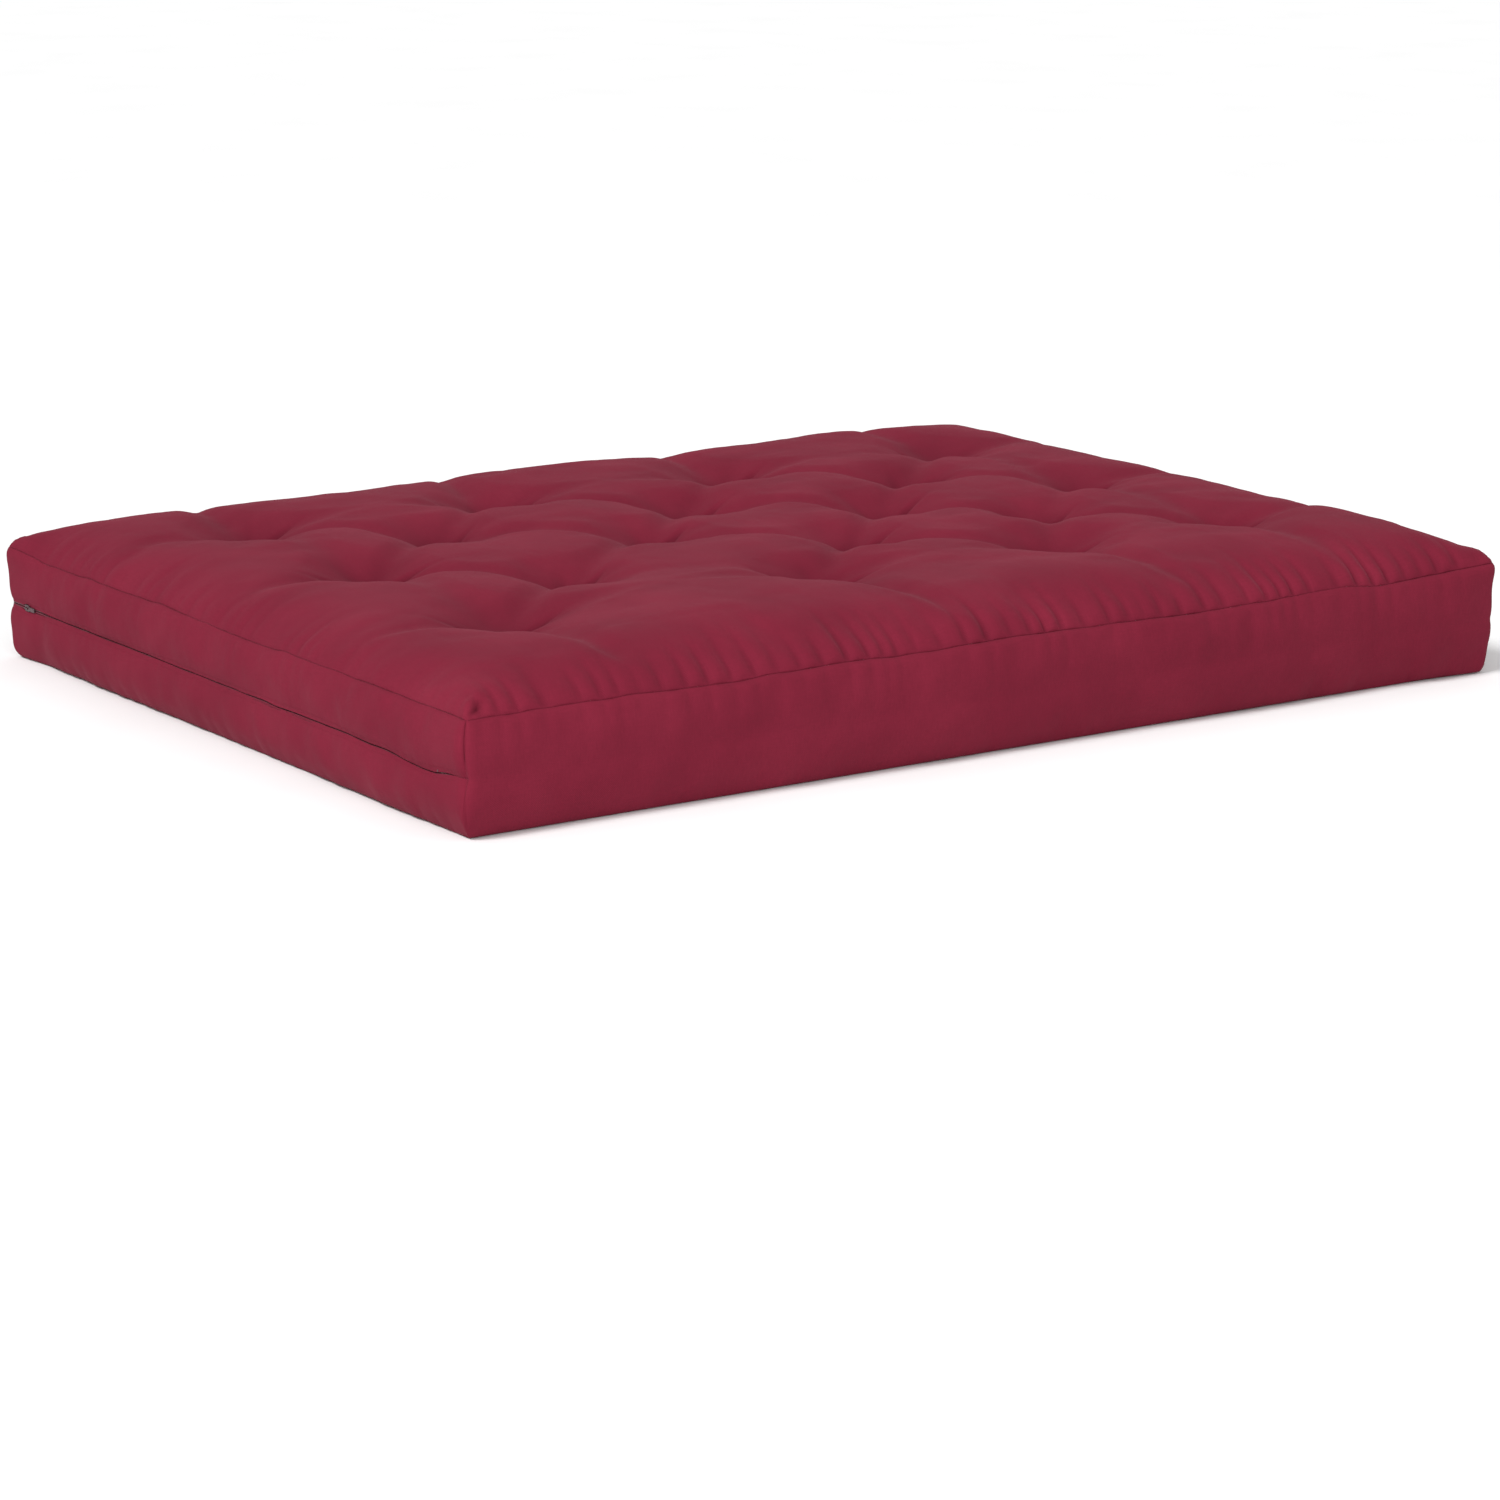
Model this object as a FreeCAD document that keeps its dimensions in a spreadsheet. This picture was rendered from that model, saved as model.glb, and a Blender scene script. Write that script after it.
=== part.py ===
import FreeCAD, Part

import math
import os

import Sketcher

# Futon mattress: a zip-off fabric cover over a tufted cotton and foam inner mattress.
# Millimetres.  X runs along the length, Y from the front edge to the rear, Z up.
# The origin is on the underside, at the middle of the bounding box.
# The mattress folds at mid depth, so every layer is made as a seat half and a back half.

os.makedirs("parts", exist_ok=True)
doc = FreeCAD.newDocument("futon_mattress")
V = FreeCAD.Vector

# ---------------------------------------------------------------- driving dimensions
SIZES = {
    # outline between the corner seams of the cover
    "seam_half_length": 952.5,
    "seam_half_depth": 685.8,
    "seam_height": 172.0,
    "crown_height": 232.0,
    "crown_run": 230.0,
    "foot_tuck": 12.0,
    "upper_bulge": 10.0,
    "lower_bulge": 13.5,
    "front_bulge": 16.53,
    "foot_share": 0.6,
    "seam_share": 0.5,
    "corner_radius": 30.0,
    "plan_margin": 12.0,
    # fabric thicknesses and the clearance between cover and inner mattress
    "cover_thickness": 1.2,
    "liner_gap": 0.3,
    "ticking_thickness": 0.8,
    "fold_gap": 0.5,
    "slant": 1.4,
    # how far the cutting regions run past the mattress, and where its corners are mitred
    "beyond": 60.0,
    "mitre_beyond": 20.0,
    "mitre_depth": 180.0,
    "border_width": 120.0,
    "border_rise": 6.0,
    "border_drop": 1.0,
    "tool_overrun": 5.0,
    # zip, running along the left end, the rear and the right end
    "zip_height": 90.0,
    "zip_inset": 2.0,
    "lip_gap": 10.8,
    "tape_inner": 0.6,
    "tape_outer": 1.2,
    "tape_width": 14.0,
    "coil_inner": 1.3,
    "coil_outer": 4.0,
    "coil_width": 2.8,
    "coil_split": 1.6,
    "zip_corner_radius": 20.0,
    "zip_end": 30.0,
    "channel_depth": 2.0,
    "channel_height": 30.0,
    "stop_place": 34.0,
    "stop_length": 2.4,
    "stop_play": 0.1,
    "stop_cap_height": 7.2,
    "stop_cap_thickness": 1.0,
    "weld": 0.2,
    # slider and pull tab
    "slider_length": 14.0,
    "slider_width": 9.8,
    "plate_thickness": 1.2,
    "front_plate": 4.3,
    "back_plate": 1.0,
    "flange_thickness": 0.8,
    "flange_depth": 2.6,
    "neck_width": 1.0,
    "neck_start": 2.0,
    "bail_length": 10.0,
    "bail_width": 2.0,
    "bail_height": 2.7,
    "bail_bar": 1.0,
    "bail_leg": 1.4,
    "pull_axis": 6.35,
    "pull_offset": 2.8,
    "pull_length": 24.0,
    "pull_width": 6.4,
    "pull_thickness": 1.0,
    "slot_width": 3.2,
    "slot_length": 3.6,
    "slider_home": 60.0,
    # filling, as heights of the faces between the layers
    "cotton_lower_top": 62.0,
    "foam_lower_top": 87.0,
    "cotton_middle_top": 117.0,
    "foam_upper_top": 142.0,
    # tufts in staggered rows; those between a row's end tufts are set off to the right, and lean
    "tuft_pitch": 455.0,
    "row_pitch": 187.0,
    "first_row": -358.0,
    "inner_shift": 50.0,
    "inner_lean": 0.15,
    "tuft_floor": 187.0,
    "tuft_floor_radius": 14.0,
    "tuft_slope": 1.0,
    "base_tuft_depth": 22.0,
    "tie_room": 6.0,
    "pad_radius": 12.5,
    "pad_thickness": 2.5,
    "twine_radius": 1.2,
    "twine_hole": 1.6,
    "knot_radius": 4.0,
    "knot_height": 2.6,
}

sheet = doc.addObject("Spreadsheet::Sheet", "Dims")
for row, (alias, value) in enumerate(SIZES.items(), start=1):
    sheet.set("A%d" % row, alias)
    sheet.set("B%d" % row, repr(value))
    sheet.setAlias("B%d" % row, alias)
doc.recompute()


def dims(text):
    """Turn bare dimension names in an expression into references to the sheet."""
    words = []
    for word in text.replace("(", "( ").replace(")", " )").split():
        words.append("Dims." + word if word in SIZES else word)
    return " ".join(words)


def bind(item, sizes):
    """Drive properties of a document object from the sheet."""
    for prop, text in sizes.items():
        item.setExpression(prop, dims(text))
    return item


def value(text):
    """The number an expression gives, used to start sketches near their solution."""
    probe = doc.addObject("App::FeaturePython", "Probe")
    probe.addProperty("App::PropertyFloat", "Number")
    probe.setExpression("Number", dims(text))
    probe.recompute()
    number = probe.Number
    doc.removeObject(probe.Name)
    return number


def common(name, *items):
    item = doc.addObject("Part::MultiCommon", name)
    item.Shapes = list(items)
    return item


def cut(name, base, tool):
    item = doc.addObject("Part::Cut", name)
    item.Base = base
    item.Tool = tool
    return item


def fuse(name, items):
    item = doc.addObject("Part::MultiFuse", name)
    item.Shapes = list(items)
    return item


def group(name, items):
    item = doc.addObject("Part::Compound", name)
    item.Links = list(items)
    return item


def box(name, x, y, z):
    """A block between the given limits; each limit is an expression."""
    item = doc.addObject("Part::Box", name)
    names = (("x", "Length"), ("y", "Width"), ("z", "Height"))
    for (axis, size), (low, high) in zip(names, (x, y, z)):
        bind(item, {
            "Placement.Base." + axis: low,
            size: "( %s ) - ( %s )" % (high, low),
        })
    return item


def cylinder(name, radius, x, y, low, high):
    item = doc.addObject("Part::Cylinder", name)
    return bind(item, {
        "Radius": radius,
        "Height": "( %s ) - ( %s )" % (high, low),
        "Placement.Base.x": x,
        "Placement.Base.y": y,
        "Placement.Base.z": low,
    })


# ---------------------------------------------------------------- outer form
def profile(name, corners, bends, rotation):
    """Closed outline through corners (expressions, anticlockwise).

    bends maps an edge number to the radius expression of an arc bulging outward."""
    sketch = doc.addObject("Sketcher::SketchObject", name)
    sketch.Placement = FreeCAD.Placement(V(0, 0, 0), rotation)
    points = [V(value(x), value(y), 0) for x, y in corners]
    count = len(points)
    for edge, start in enumerate(points):
        end = points[(edge + 1) % count]
        if edge in bends:
            radius = value(bends[edge])
            middle = (start + end) * 0.5
            half = (end - start).Length / 2
            sagitta = radius - math.sqrt(radius * radius - half * half)
            along = (end - start).normalize()
            outward = V(along.y, -along.x, 0)
            sketch.addGeometry(Part.Arc(start, middle + outward * sagitta, end))
        else:
            sketch.addGeometry(Part.LineSegment(start, end))
    for edge in range(count):
        sketch.addConstraint(Sketcher.Constraint("Coincident", edge, 2, (edge + 1) % count, 1))
    for edge, (x, y) in enumerate(corners):
        for kind, text in (("DistanceX", x), ("DistanceY", y)):
            number = sketch.addConstraint(Sketcher.Constraint(kind, edge, 1, value(text)))
            sketch.setExpression("Constraints[%d]" % number, dims(text))
    for edge, text in bends.items():
        number = sketch.addConstraint(Sketcher.Constraint("Radius", edge, value(text)))
        sketch.setExpression("Constraints[%d]" % number, dims(text))
    return sketch


def bend_radius(run, rise, bulge):
    """Radius of an arc over a chord with the given run and rise."""
    chord = "( ( %s ) * ( %s ) + ( %s ) * ( %s ) )" % (run, run, rise, rise)
    return "( %s + 4 * %s * %s ) / ( 8 * %s )" % (chord, bulge, bulge, bulge)


def extrude(name, sketch, reach):
    item = doc.addObject("Part::Extrusion", name)
    item.Base = sketch
    item.DirMode = "Normal"
    item.Symmetric = True
    item.Solid = True
    return bind(item, {"LengthFwd": "2 * ( %s )" % reach})


ACROSS_LENGTH = FreeCAD.Rotation(V(1, 0, 0), V(0, 0, 1), V(0, -1, 0), "ZXY")
ACROSS_DEPTH = FreeCAD.Rotation(V(0, 1, 0), V(0, 0, 1), V(1, 0, 0), "ZXY")


def zipped_side(half, inset):
    """Corners of one zipped side from the foot up to the crown, and the arc radii."""
    seam_z = "seam_height - seam_share * ( %s )" % inset
    crown_z = "crown_height - ( %s )" % inset
    corners = [
        ("%s - foot_tuck - foot_share * ( %s )" % (half, inset), inset),
        ("%s + zip_inset - ( %s )" % (half, inset), "zip_height"),
        ("%s - ( %s )" % (half, inset), seam_z),
        ("%s - crown_run" % half, crown_z),
    ]
    radii = [
        bend_radius("foot_tuck + zip_inset - ( 1 - foot_share ) * ( %s )" % inset,
                    "zip_height - ( %s )" % inset, "lower_bulge"),
        bend_radius("zip_inset", "%s - zip_height" % seam_z, "upper_bulge"),
        crown_radius(seam_z, crown_z, inset),
    ]
    return corners, radii


def plain_side(half, inset):
    """Corners of the plain front from the foot up to the crown, and the arc radii."""
    seam_z = "seam_height - seam_share * ( %s )" % inset
    crown_z = "crown_height - ( %s )" % inset
    corners = [
        ("%s - foot_tuck - foot_share * ( %s )" % (half, inset), inset),
        ("%s - ( %s )" % (half, inset), seam_z),
        ("%s - crown_run" % half, crown_z),
    ]
    radii = [
        bend_radius("foot_tuck - ( 1 - foot_share ) * ( %s )" % inset,
                    "%s - ( %s )" % (seam_z, inset), "front_bulge"),
        crown_radius(seam_z, crown_z, inset),
    ]
    return corners, radii


def crown_radius(seam_z, crown_z, inset):
    """The crown meets the flat top with no edge, so its centre is under the crown's end."""
    run = "( crown_run - ( %s ) )" % inset
    rise = "( %s - ( %s ) )" % (crown_z, seam_z)
    return "( %s * %s + %s * %s ) / ( 2 * %s )" % (run, run, rise, rise, rise)


def outline(right, left):
    """Join a right side and a mirrored left side into one closed profile."""
    corners, radii = right
    mirrored, mirrored_radii = left
    points = list(corners) + [("-1 * ( %s )" % x, z) for x, z in reversed(mirrored)]
    bends = {number: radius for number, radius in enumerate(radii)}
    first = len(corners)
    for number, radius in enumerate(reversed(mirrored_radii)):
        bends[first + number] = radius
    return points, bends


def rounded_block(name, margin, radius, low, high):
    """Upright block with rounded corners, the outline grown by margin."""
    block = box(name + "_block",
                ("-1 * seam_half_length - ( %s )" % margin, "seam_half_length + ( %s )" % margin),
                ("-1 * seam_half_depth - ( %s )" % margin, "seam_half_depth + ( %s )" % margin),
                (low, high))
    doc.recompute()
    item = doc.addObject("Part::Fillet", name)
    item.Base = block
    size = value(radius)
    upright = []
    for number, edge in enumerate(block.Shape.Edges, start=1):
        ends = [vertex.Point for vertex in edge.Vertexes]
        if abs(ends[0].z - ends[1].z) > 1e-6:
            upright.append((number, size, size))
    item.Edges = upright
    return item


def envelope(name, inset):
    """The whole mattress form, drawn in by inset on every face."""
    length = profile(name + "_length_profile",
                     *outline(zipped_side("seam_half_length", inset),
                              zipped_side("seam_half_length", inset)),
                     ACROSS_LENGTH)
    depth = profile(name + "_depth_profile",
                    *outline(zipped_side("seam_half_depth", inset),
                             plain_side("seam_half_depth", inset)),
                    ACROSS_DEPTH)
    return common(name,
                  extrude(name + "_length", length, "seam_half_depth + beyond"),
                  extrude(name + "_depth", depth, "seam_half_length + beyond"),
                  rounded_block(name + "_plan", "plan_margin - ( %s )" % inset,
                                "corner_radius - ( %s )" % inset,
                                "-1 * tool_overrun", "crown_height + tool_overrun"))


# ---------------------------------------------------------------- tufts
TUFTS = []
for row in range(5):
    columns = 4 if row % 2 == 0 else 3
    for column in range(columns):
        step = column - (columns - 1) / 2
        x = "%s * tuft_pitch" % step
        y = "first_row + %d * row_pitch" % row
        if 0 < column < columns - 1:
            x += " + inner_shift - inner_lean * ( %s )" % y
        TUFTS.append((row, column, x, y))


def wells(name, floor, top):
    """Cones pressed into the top, one at every tuft."""
    cones = []
    for row, column, x, y in TUFTS:
        cone = doc.addObject("Part::Cone", "%s_%d_%d" % (name, row, column))
        bind(cone, {
            "Radius1": "tuft_floor_radius",
            "Radius2": "tuft_floor_radius + tuft_slope * ( ( %s ) - ( %s ) )" % (top, floor),
            "Height": "( %s ) - ( %s )" % (top, floor),
            "Placement.Base.x": x,
            "Placement.Base.y": y,
            "Placement.Base.z": floor,
        })
        cones.append(cone)
    return group(name, cones)


def base_wells(name, ceiling):
    """Cones pressed up into the underside, one at every tuft."""
    cones = []
    for row, column, x, y in TUFTS:
        cone = doc.addObject("Part::Cone", "%s_%d_%d" % (name, row, column))
        bind(cone, {
            "Radius1": "tuft_floor_radius + tuft_slope * ( ( %s ) + tool_overrun )" % ceiling,
            "Radius2": "tuft_floor_radius",
            "Height": "( %s ) + tool_overrun" % ceiling,
            "Placement.Base.x": x,
            "Placement.Base.y": y,
            "Placement.Base.z": "-1 * tool_overrun",
        })
        cones.append(cone)
    return group(name, cones)


def twine_holes(name, rows):
    pins = []
    for row, column, x, y in TUFTS:
        if row in rows:
            label = "%s_%d_%d" % (name, row, column)
            pins.append(cylinder(label, "twine_hole", x, y, "-1 * tool_overrun", ABOVE))
    return group(name, pins)


COVER = "cover_thickness"
TICKING = "cover_thickness + liner_gap"
FILLING = "cover_thickness + liner_gap + ticking_thickness"
ABOVE = "crown_height + tool_overrun"

COVER_FLOOR = "tuft_floor"
COVER_FLOOR_INSIDE = "tuft_floor - slant * ( %s )" % COVER
TICKING_FLOOR = "tuft_floor - slant * ( %s ) - tie_room" % TICKING
FILLING_FLOOR = "tuft_floor - slant * ( %s ) - tie_room" % FILLING
TICKING_CEILING = "base_tuft_depth + ( %s )" % TICKING
FILLING_CEILING = "base_tuft_depth + slant * ticking_thickness + ( %s )" % TICKING

SEAT_ROWS = (0, 1)
BACK_ROWS = (2, 3, 4)

# ---------------------------------------------------------------- regions
FULL_X = ("-1 * seam_half_length - beyond", "seam_half_length + beyond")
FULL_Y = ("-1 * seam_half_depth - beyond", "seam_half_depth + beyond")
FULL_Z = ("-1 * beyond", "crown_height + beyond")
FRONT_Y, REAR_Y = FULL_Y
UNDER, OVER = FULL_Z
LEFT = (FULL_X[0], "0")
RIGHT = ("0", FULL_X[1])

seat_half = box("seat_region", FULL_X, (FRONT_Y, "-0.5 * fold_gap"), FULL_Z)
back_half = box("back_region", FULL_X, ("0.5 * fold_gap", REAR_Y), FULL_Z)
HALVES = {"seat": seat_half, "back": back_half}


def end_wedge(name, sign):
    """Mitred region in front of (-1) or behind (+1) the corner seams."""
    item = doc.addObject("Part::Wedge", name)
    far = "%d * ( seam_half_depth + mitre_beyond )" % sign
    near = "%d * ( seam_half_depth - mitre_depth )" % sign
    wide = "( seam_half_length + mitre_beyond )"
    narrow = "( seam_half_length - mitre_depth )"
    low, high = (far, near) if sign < 0 else (near, far)
    at_low, at_high = (wide, narrow) if sign < 0 else (narrow, wide)
    return bind(item, {
        "Xmin": "-1 * " + at_low, "Xmax": at_low, "Ymin": low,
        "X2min": "-1 * " + at_high, "X2max": at_high, "Ymax": high,
        "Zmin": UNDER, "Zmax": OVER,
        "Z2min": UNDER, "Z2max": OVER,
    })


front_wedge = end_wedge("front_wedge", -1)
rear_wedge = end_wedge("rear_wedge", 1)
left_region = box("left_region", LEFT, FULL_Y, FULL_Z)
right_region = box("right_region", RIGHT, FULL_Y, FULL_Z)
above_zip = box("above_zip", FULL_X, FULL_Y, ("zip_height", OVER))
below_zip = box("below_zip", FULL_X, FULL_Y, (UNDER, "zip_height"))

PARTS = {}


def keep(name, item):
    item.Label = name
    PARTS[name] = item
    return item


def keep_halves(name, item):
    for half, region in HALVES.items():
        keep("%s_%s" % (name, half), common("%s_%s" % (name, half), item, region))


# ---------------------------------------------------------------- cover
cover_outer = cut("cover_outer", envelope("cover_form", "0"),
                  wells("cover_wells", COVER_FLOOR, ABOVE))
cover_inner = cut("cover_inner", envelope("cover_inside", COVER),
                  wells("cover_inside_wells", COVER_FLOOR_INSIDE, ABOVE))
cover_shell = cut("cover_shell", cover_outer, cover_inner)

top_slab = box("top_slab", FULL_X, FULL_Y, ("seam_height", OVER))
base_slab = box("base_slab", FULL_X, FULL_Y, (UNDER, COVER))
side_slab = box("side_slab", FULL_X, FULL_Y, (COVER, "seam_height"))
keep_halves("cover_top", common("cover_top_panel", cover_shell, top_slab))
keep_halves("cover_base", common("cover_base_panel", cover_shell, base_slab))

boxing = common("boxing", cover_shell, side_slab)
keep("cover_front", common("cover_front", boxing, front_wedge))

ZIPPED_Y = ("-1 * seam_half_depth + zip_end", REAR_Y)
zip_slot = box("zip_slot", FULL_X, ZIPPED_Y,
               ("zip_height - 0.5 * lip_gap", "zip_height + 0.5 * lip_gap"))
zipped_boxing = cut("zipped_boxing", cut("zipped_sides", boxing, front_wedge), zip_slot)
ends = cut("boxing_ends", zipped_boxing, rear_wedge)
for side, region in (("left", left_region), ("right", right_region)):
    end = common("boxing_" + side, ends, region)
    keep_halves("cover_%s_upper" % side, common("%s_upper_strip" % side, end, above_zip))
    keep_halves("cover_%s_lower" % side, common("%s_lower_strip" % side, end, below_zip))
keep("cover_rear_upper", common("cover_rear_upper", zipped_boxing, rear_wedge, above_zip))
keep("cover_rear_lower", common("cover_rear_lower", zipped_boxing, rear_wedge, below_zip))


# ---------------------------------------------------------------- zip
zip_run = box("zip_run", FULL_X, ZIPPED_Y, FULL_Z)


def zip_ring(name, inner, outer, low, high):
    """Band following the outline at the zip, open along the front."""
    reach = "zip_corner_radius + ( %s )"
    solid = rounded_block(name + "_outside", outer, reach % outer, low, high)
    hollow = rounded_block(name + "_inside", inner, reach % inner,
                           "( %s ) - 1" % low, "( %s ) + 1" % high)
    return common(name, cut(name + "_ring", solid, hollow), zip_run)


def keep_zip(name, band):
    seat = common(name + "_seat", band, seat_half)
    keep(name + "_seat_left", common(name + "_seat_left", seat, left_region))
    keep(name + "_seat_right", common(name + "_seat_right", seat, right_region))
    keep(name + "_back", common(name + "_back", band, back_half))


TAPE_EDGE = "zip_height + %s * 0.5 * coil_split"
for level, sign in (("upper", "1"), ("lower", "-1")):
    near = TAPE_EDGE % sign
    for item, inner, outer, width in (("zip_tape", "tape_inner", "tape_outer", "tape_width"),
                                      ("zip_coil", "coil_inner", "coil_outer", "coil_width")):
        far = "%s + %s * %s" % (near, sign, width)
        low, high = (near, far) if sign == "1" else (far, near)
        keep_zip("%s_%s" % (item, level),
                 zip_ring("%s_%s_band" % (item, level), inner, outer, low, high))

def zip_stop(side, sign):
    """Metal clip across the ends of both coils, with a cap on its outer face."""
    along = ("-1 * seam_half_depth + zip_end + stop_place",
             "-1 * seam_half_depth + zip_end + stop_place + stop_length")
    between = ("zip_height - 0.5 * coil_split + stop_play", "zip_height + 0.5 * coil_split - stop_play")
    cap_rise = ("zip_height - 0.5 * stop_cap_height", "zip_height + 0.5 * stop_cap_height")
    cap_inner = "coil_outer + stop_play"
    cap_outer = "coil_outer + stop_play + stop_cap_thickness"

    def outward(near, far):
        limits = ["%d * ( seam_half_length + %s )" % (sign, near),
                  "%d * ( seam_half_length + %s )" % (sign, far)]
        return limits if sign > 0 else limits[::-1]

    bar = box("stop_bar_" + side, outward("coil_inner", cap_outer), along, between)
    cap = box("stop_cap_" + side, outward(cap_inner, cap_outer), along, cap_rise)
    return fuse("zip_stop_" + side, [bar, cap])


for side, sign in (("left", -1), ("right", 1)):
    keep("zip_stop_" + side, zip_stop(side, sign))


def slider(name, hand):
    """Slider body about the zip line: x outward, y along the zip, z up."""
    half = "0.5 * slider_length"
    half_width = "0.5 * slider_width"
    along = ("-1 * %s" % half, half)
    across = ("-1 * %s" % half_width, half_width)
    front = box(name + "_front", ("front_plate", "front_plate + plate_thickness"), along, across)
    back = box(name + "_back", ("-1 * back_plate", "plate_thickness - back_plate"), along, across)
    wing = ("front_plate - flange_depth", "front_plate + weld")
    upper = box(name + "_wing_upper", wing, along, (half_width + " - flange_thickness", half_width))
    lower = box(name + "_wing_lower", wing, along,
                ("-1 * %s" % half_width, "flange_thickness - %s" % half_width))
    neck_span = ("neck_start", half) if hand > 0 else ("-1 * %s" % half, "-1 * neck_start")
    neck = box(name + "_neck", ("-1 * back_plate", "front_plate + weld"), neck_span,
               ("-0.5 * neck_width", "0.5 * neck_width"))
    plate_top = "front_plate + plate_thickness"
    arch = box(name + "_arch", (plate_top + " - weld", plate_top + " + bail_height"),
               ("-0.5 * bail_length", "0.5 * bail_length"), ("-0.5 * bail_width", "0.5 * bail_width"))
    opening = box(name + "_opening", (plate_top, plate_top + " + bail_height - bail_bar"),
                  ("-0.5 * bail_length + bail_leg", "0.5 * bail_length - bail_leg"),
                  ("-1 * bail_width", "bail_width"))
    bail = cut(name + "_bail", arch, opening)
    return fuse(name, [front, back, upper, lower, neck, bail])


def pull(name, hand):
    """Pull tab lying along the zip, looped through the bail of its slider."""
    axis_y = "%d * -1 * pull_offset" % hand
    bar = doc.addObject("Part::Cylinder", name + "_bar")
    bind(bar, {
        "Radius": "0.5 * pull_thickness", "Height": "pull_width",
        "Placement.Base.x": "pull_axis", "Placement.Base.y": axis_y,
        "Placement.Base.z": "-0.5 * pull_width",
    })
    faces = ("pull_axis - 0.5 * pull_thickness", "pull_axis + 0.5 * pull_thickness")
    tip = "%s - %d * pull_length" % (axis_y, hand)
    span = (tip, axis_y) if hand > 0 else (axis_y, tip)
    plate = box(name + "_plate", faces, span, ("-0.5 * pull_width", "0.5 * pull_width"))
    slot_near = "%s - %d * 0.5 * pull_thickness" % (axis_y, hand)
    slot_far = "%s - %d * slot_length" % (axis_y, hand)
    slot_span = (slot_far, slot_near) if hand > 0 else (slot_near, slot_far)
    slot = box(name + "_slot", ("pull_axis - pull_thickness", "pull_axis + pull_thickness"),
               slot_span, ("-0.5 * slot_width", "0.5 * slot_width"))
    return cut(name, fuse(name + "_blank", [bar, plate]), slot)


def mount(item, base, turn):
    """Set a piece drawn about the zip line onto one side of the mattress."""
    item.Placement = FreeCAD.Placement(V(0, 0, 0), FreeCAD.Rotation(V(0, 0, 1), turn))
    bind(item, {"Placement.Base." + axis: text for axis, text in zip("xyz", base)})
    return item


LEFT_HOME = ("-1 * seam_half_length", "seam_half_depth - slider_home", "zip_height")
REAR_HOME = ("-1 * seam_half_length + slider_home", "seam_half_depth", "zip_height")
keep("slider_left", mount(slider("slider_left", -1), LEFT_HOME, 180))
keep("pull_left", mount(pull("pull_left", -1), LEFT_HOME, 180))
keep("slider_rear", mount(slider("slider_rear", 1), REAR_HOME, 90))
keep("pull_rear", mount(pull("pull_rear", 1), REAR_HOME, 90))


# ---------------------------------------------------------------- inner mattress
def channel(name, depth, height):
    """Recess round the sides in which the zip tapes and the sliders lie."""
    low = "zip_height - 0.5 * ( %s )" % height
    high = "zip_height + 0.5 * ( %s )" % height
    ring = cut(name + "_ring",
               box(name + "_block", FULL_X, FULL_Y, (low, high)),
               rounded_block(name + "_core", "-1 * ( %s )" % depth, "zip_corner_radius - ( %s )" % depth,
                             "( %s ) - 1" % low, "( %s ) + 1" % high))
    return cut(name, ring, front_wedge)


def inner_form(name, inset, floor, ceiling, depth, height):
    hollows = group(name + "_hollows", [
        wells(name + "_wells", floor, ABOVE),
        base_wells(name + "_base_wells", ceiling),
    ])
    dimpled = cut(name + "_dimpled", envelope(name + "_envelope", inset), hollows)
    return cut(name, dimpled, channel(name + "_channel", depth, height))


holes = {"seat": twine_holes("seat_holes", SEAT_ROWS), "back": twine_holes("back_holes", BACK_ROWS)}
ticking_form = inner_form("ticking_form", TICKING, TICKING_FLOOR, TICKING_CEILING,
                          "channel_depth", "channel_height")
filling_form = inner_form("filling_form", FILLING, FILLING_FLOOR, FILLING_CEILING,
                          "channel_depth + ticking_thickness",
                          "channel_height + 2 * ticking_thickness")
ticking = cut("ticking", ticking_form, filling_form)

BORDER_TOP = "seam_height - border_drop"
BORDER_BASE = "base_tuft_depth + border_rise"
inner_top = box("inner_top", FULL_X, FULL_Y, (BORDER_TOP, OVER))
inner_side = box("inner_side", FULL_X, FULL_Y, (FILLING, BORDER_TOP))
inner_base = box("inner_base", FULL_X, FULL_Y, (UNDER, FILLING))
base_core = box("base_core",
                ("-1 * seam_half_length + border_width", "seam_half_length - border_width"),
                ("-1 * seam_half_depth + border_width", "seam_half_depth - border_width"),
                (UNDER, BORDER_BASE))
base_zone = fuse("base_zone", [inner_base, base_core])
side_zone = cut("side_zone", inner_side, base_core)
for half, region in HALVES.items():
    for name, zone in (("top", inner_top), ("border", side_zone), ("base", base_zone)):
        blank = common("ticking_%s_%s_blank" % (name, half), ticking, zone, region)
        keep("ticking_%s_%s" % (name, half), cut("ticking_%s_%s" % (name, half), blank, holes[half]))

LAYERS = (
    ("cotton_lower", UNDER, "cotton_lower_top"),
    ("foam_lower", "cotton_lower_top", "foam_lower_top"),
    ("cotton_middle", "foam_lower_top", "cotton_middle_top"),
    ("foam_upper", "cotton_middle_top", "foam_upper_top"),
    ("cotton_upper", "foam_upper_top", OVER),
)
for name, low, high in LAYERS:
    slab = box(name + "_slab", FULL_X, FULL_Y, (low, high))
    for half, region in HALVES.items():
        blank = common("%s_%s_blank" % (name, half), filling_form, slab, region)
        keep("%s_%s" % (name, half), cut("%s_%s" % (name, half), blank, holes[half]))


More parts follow.
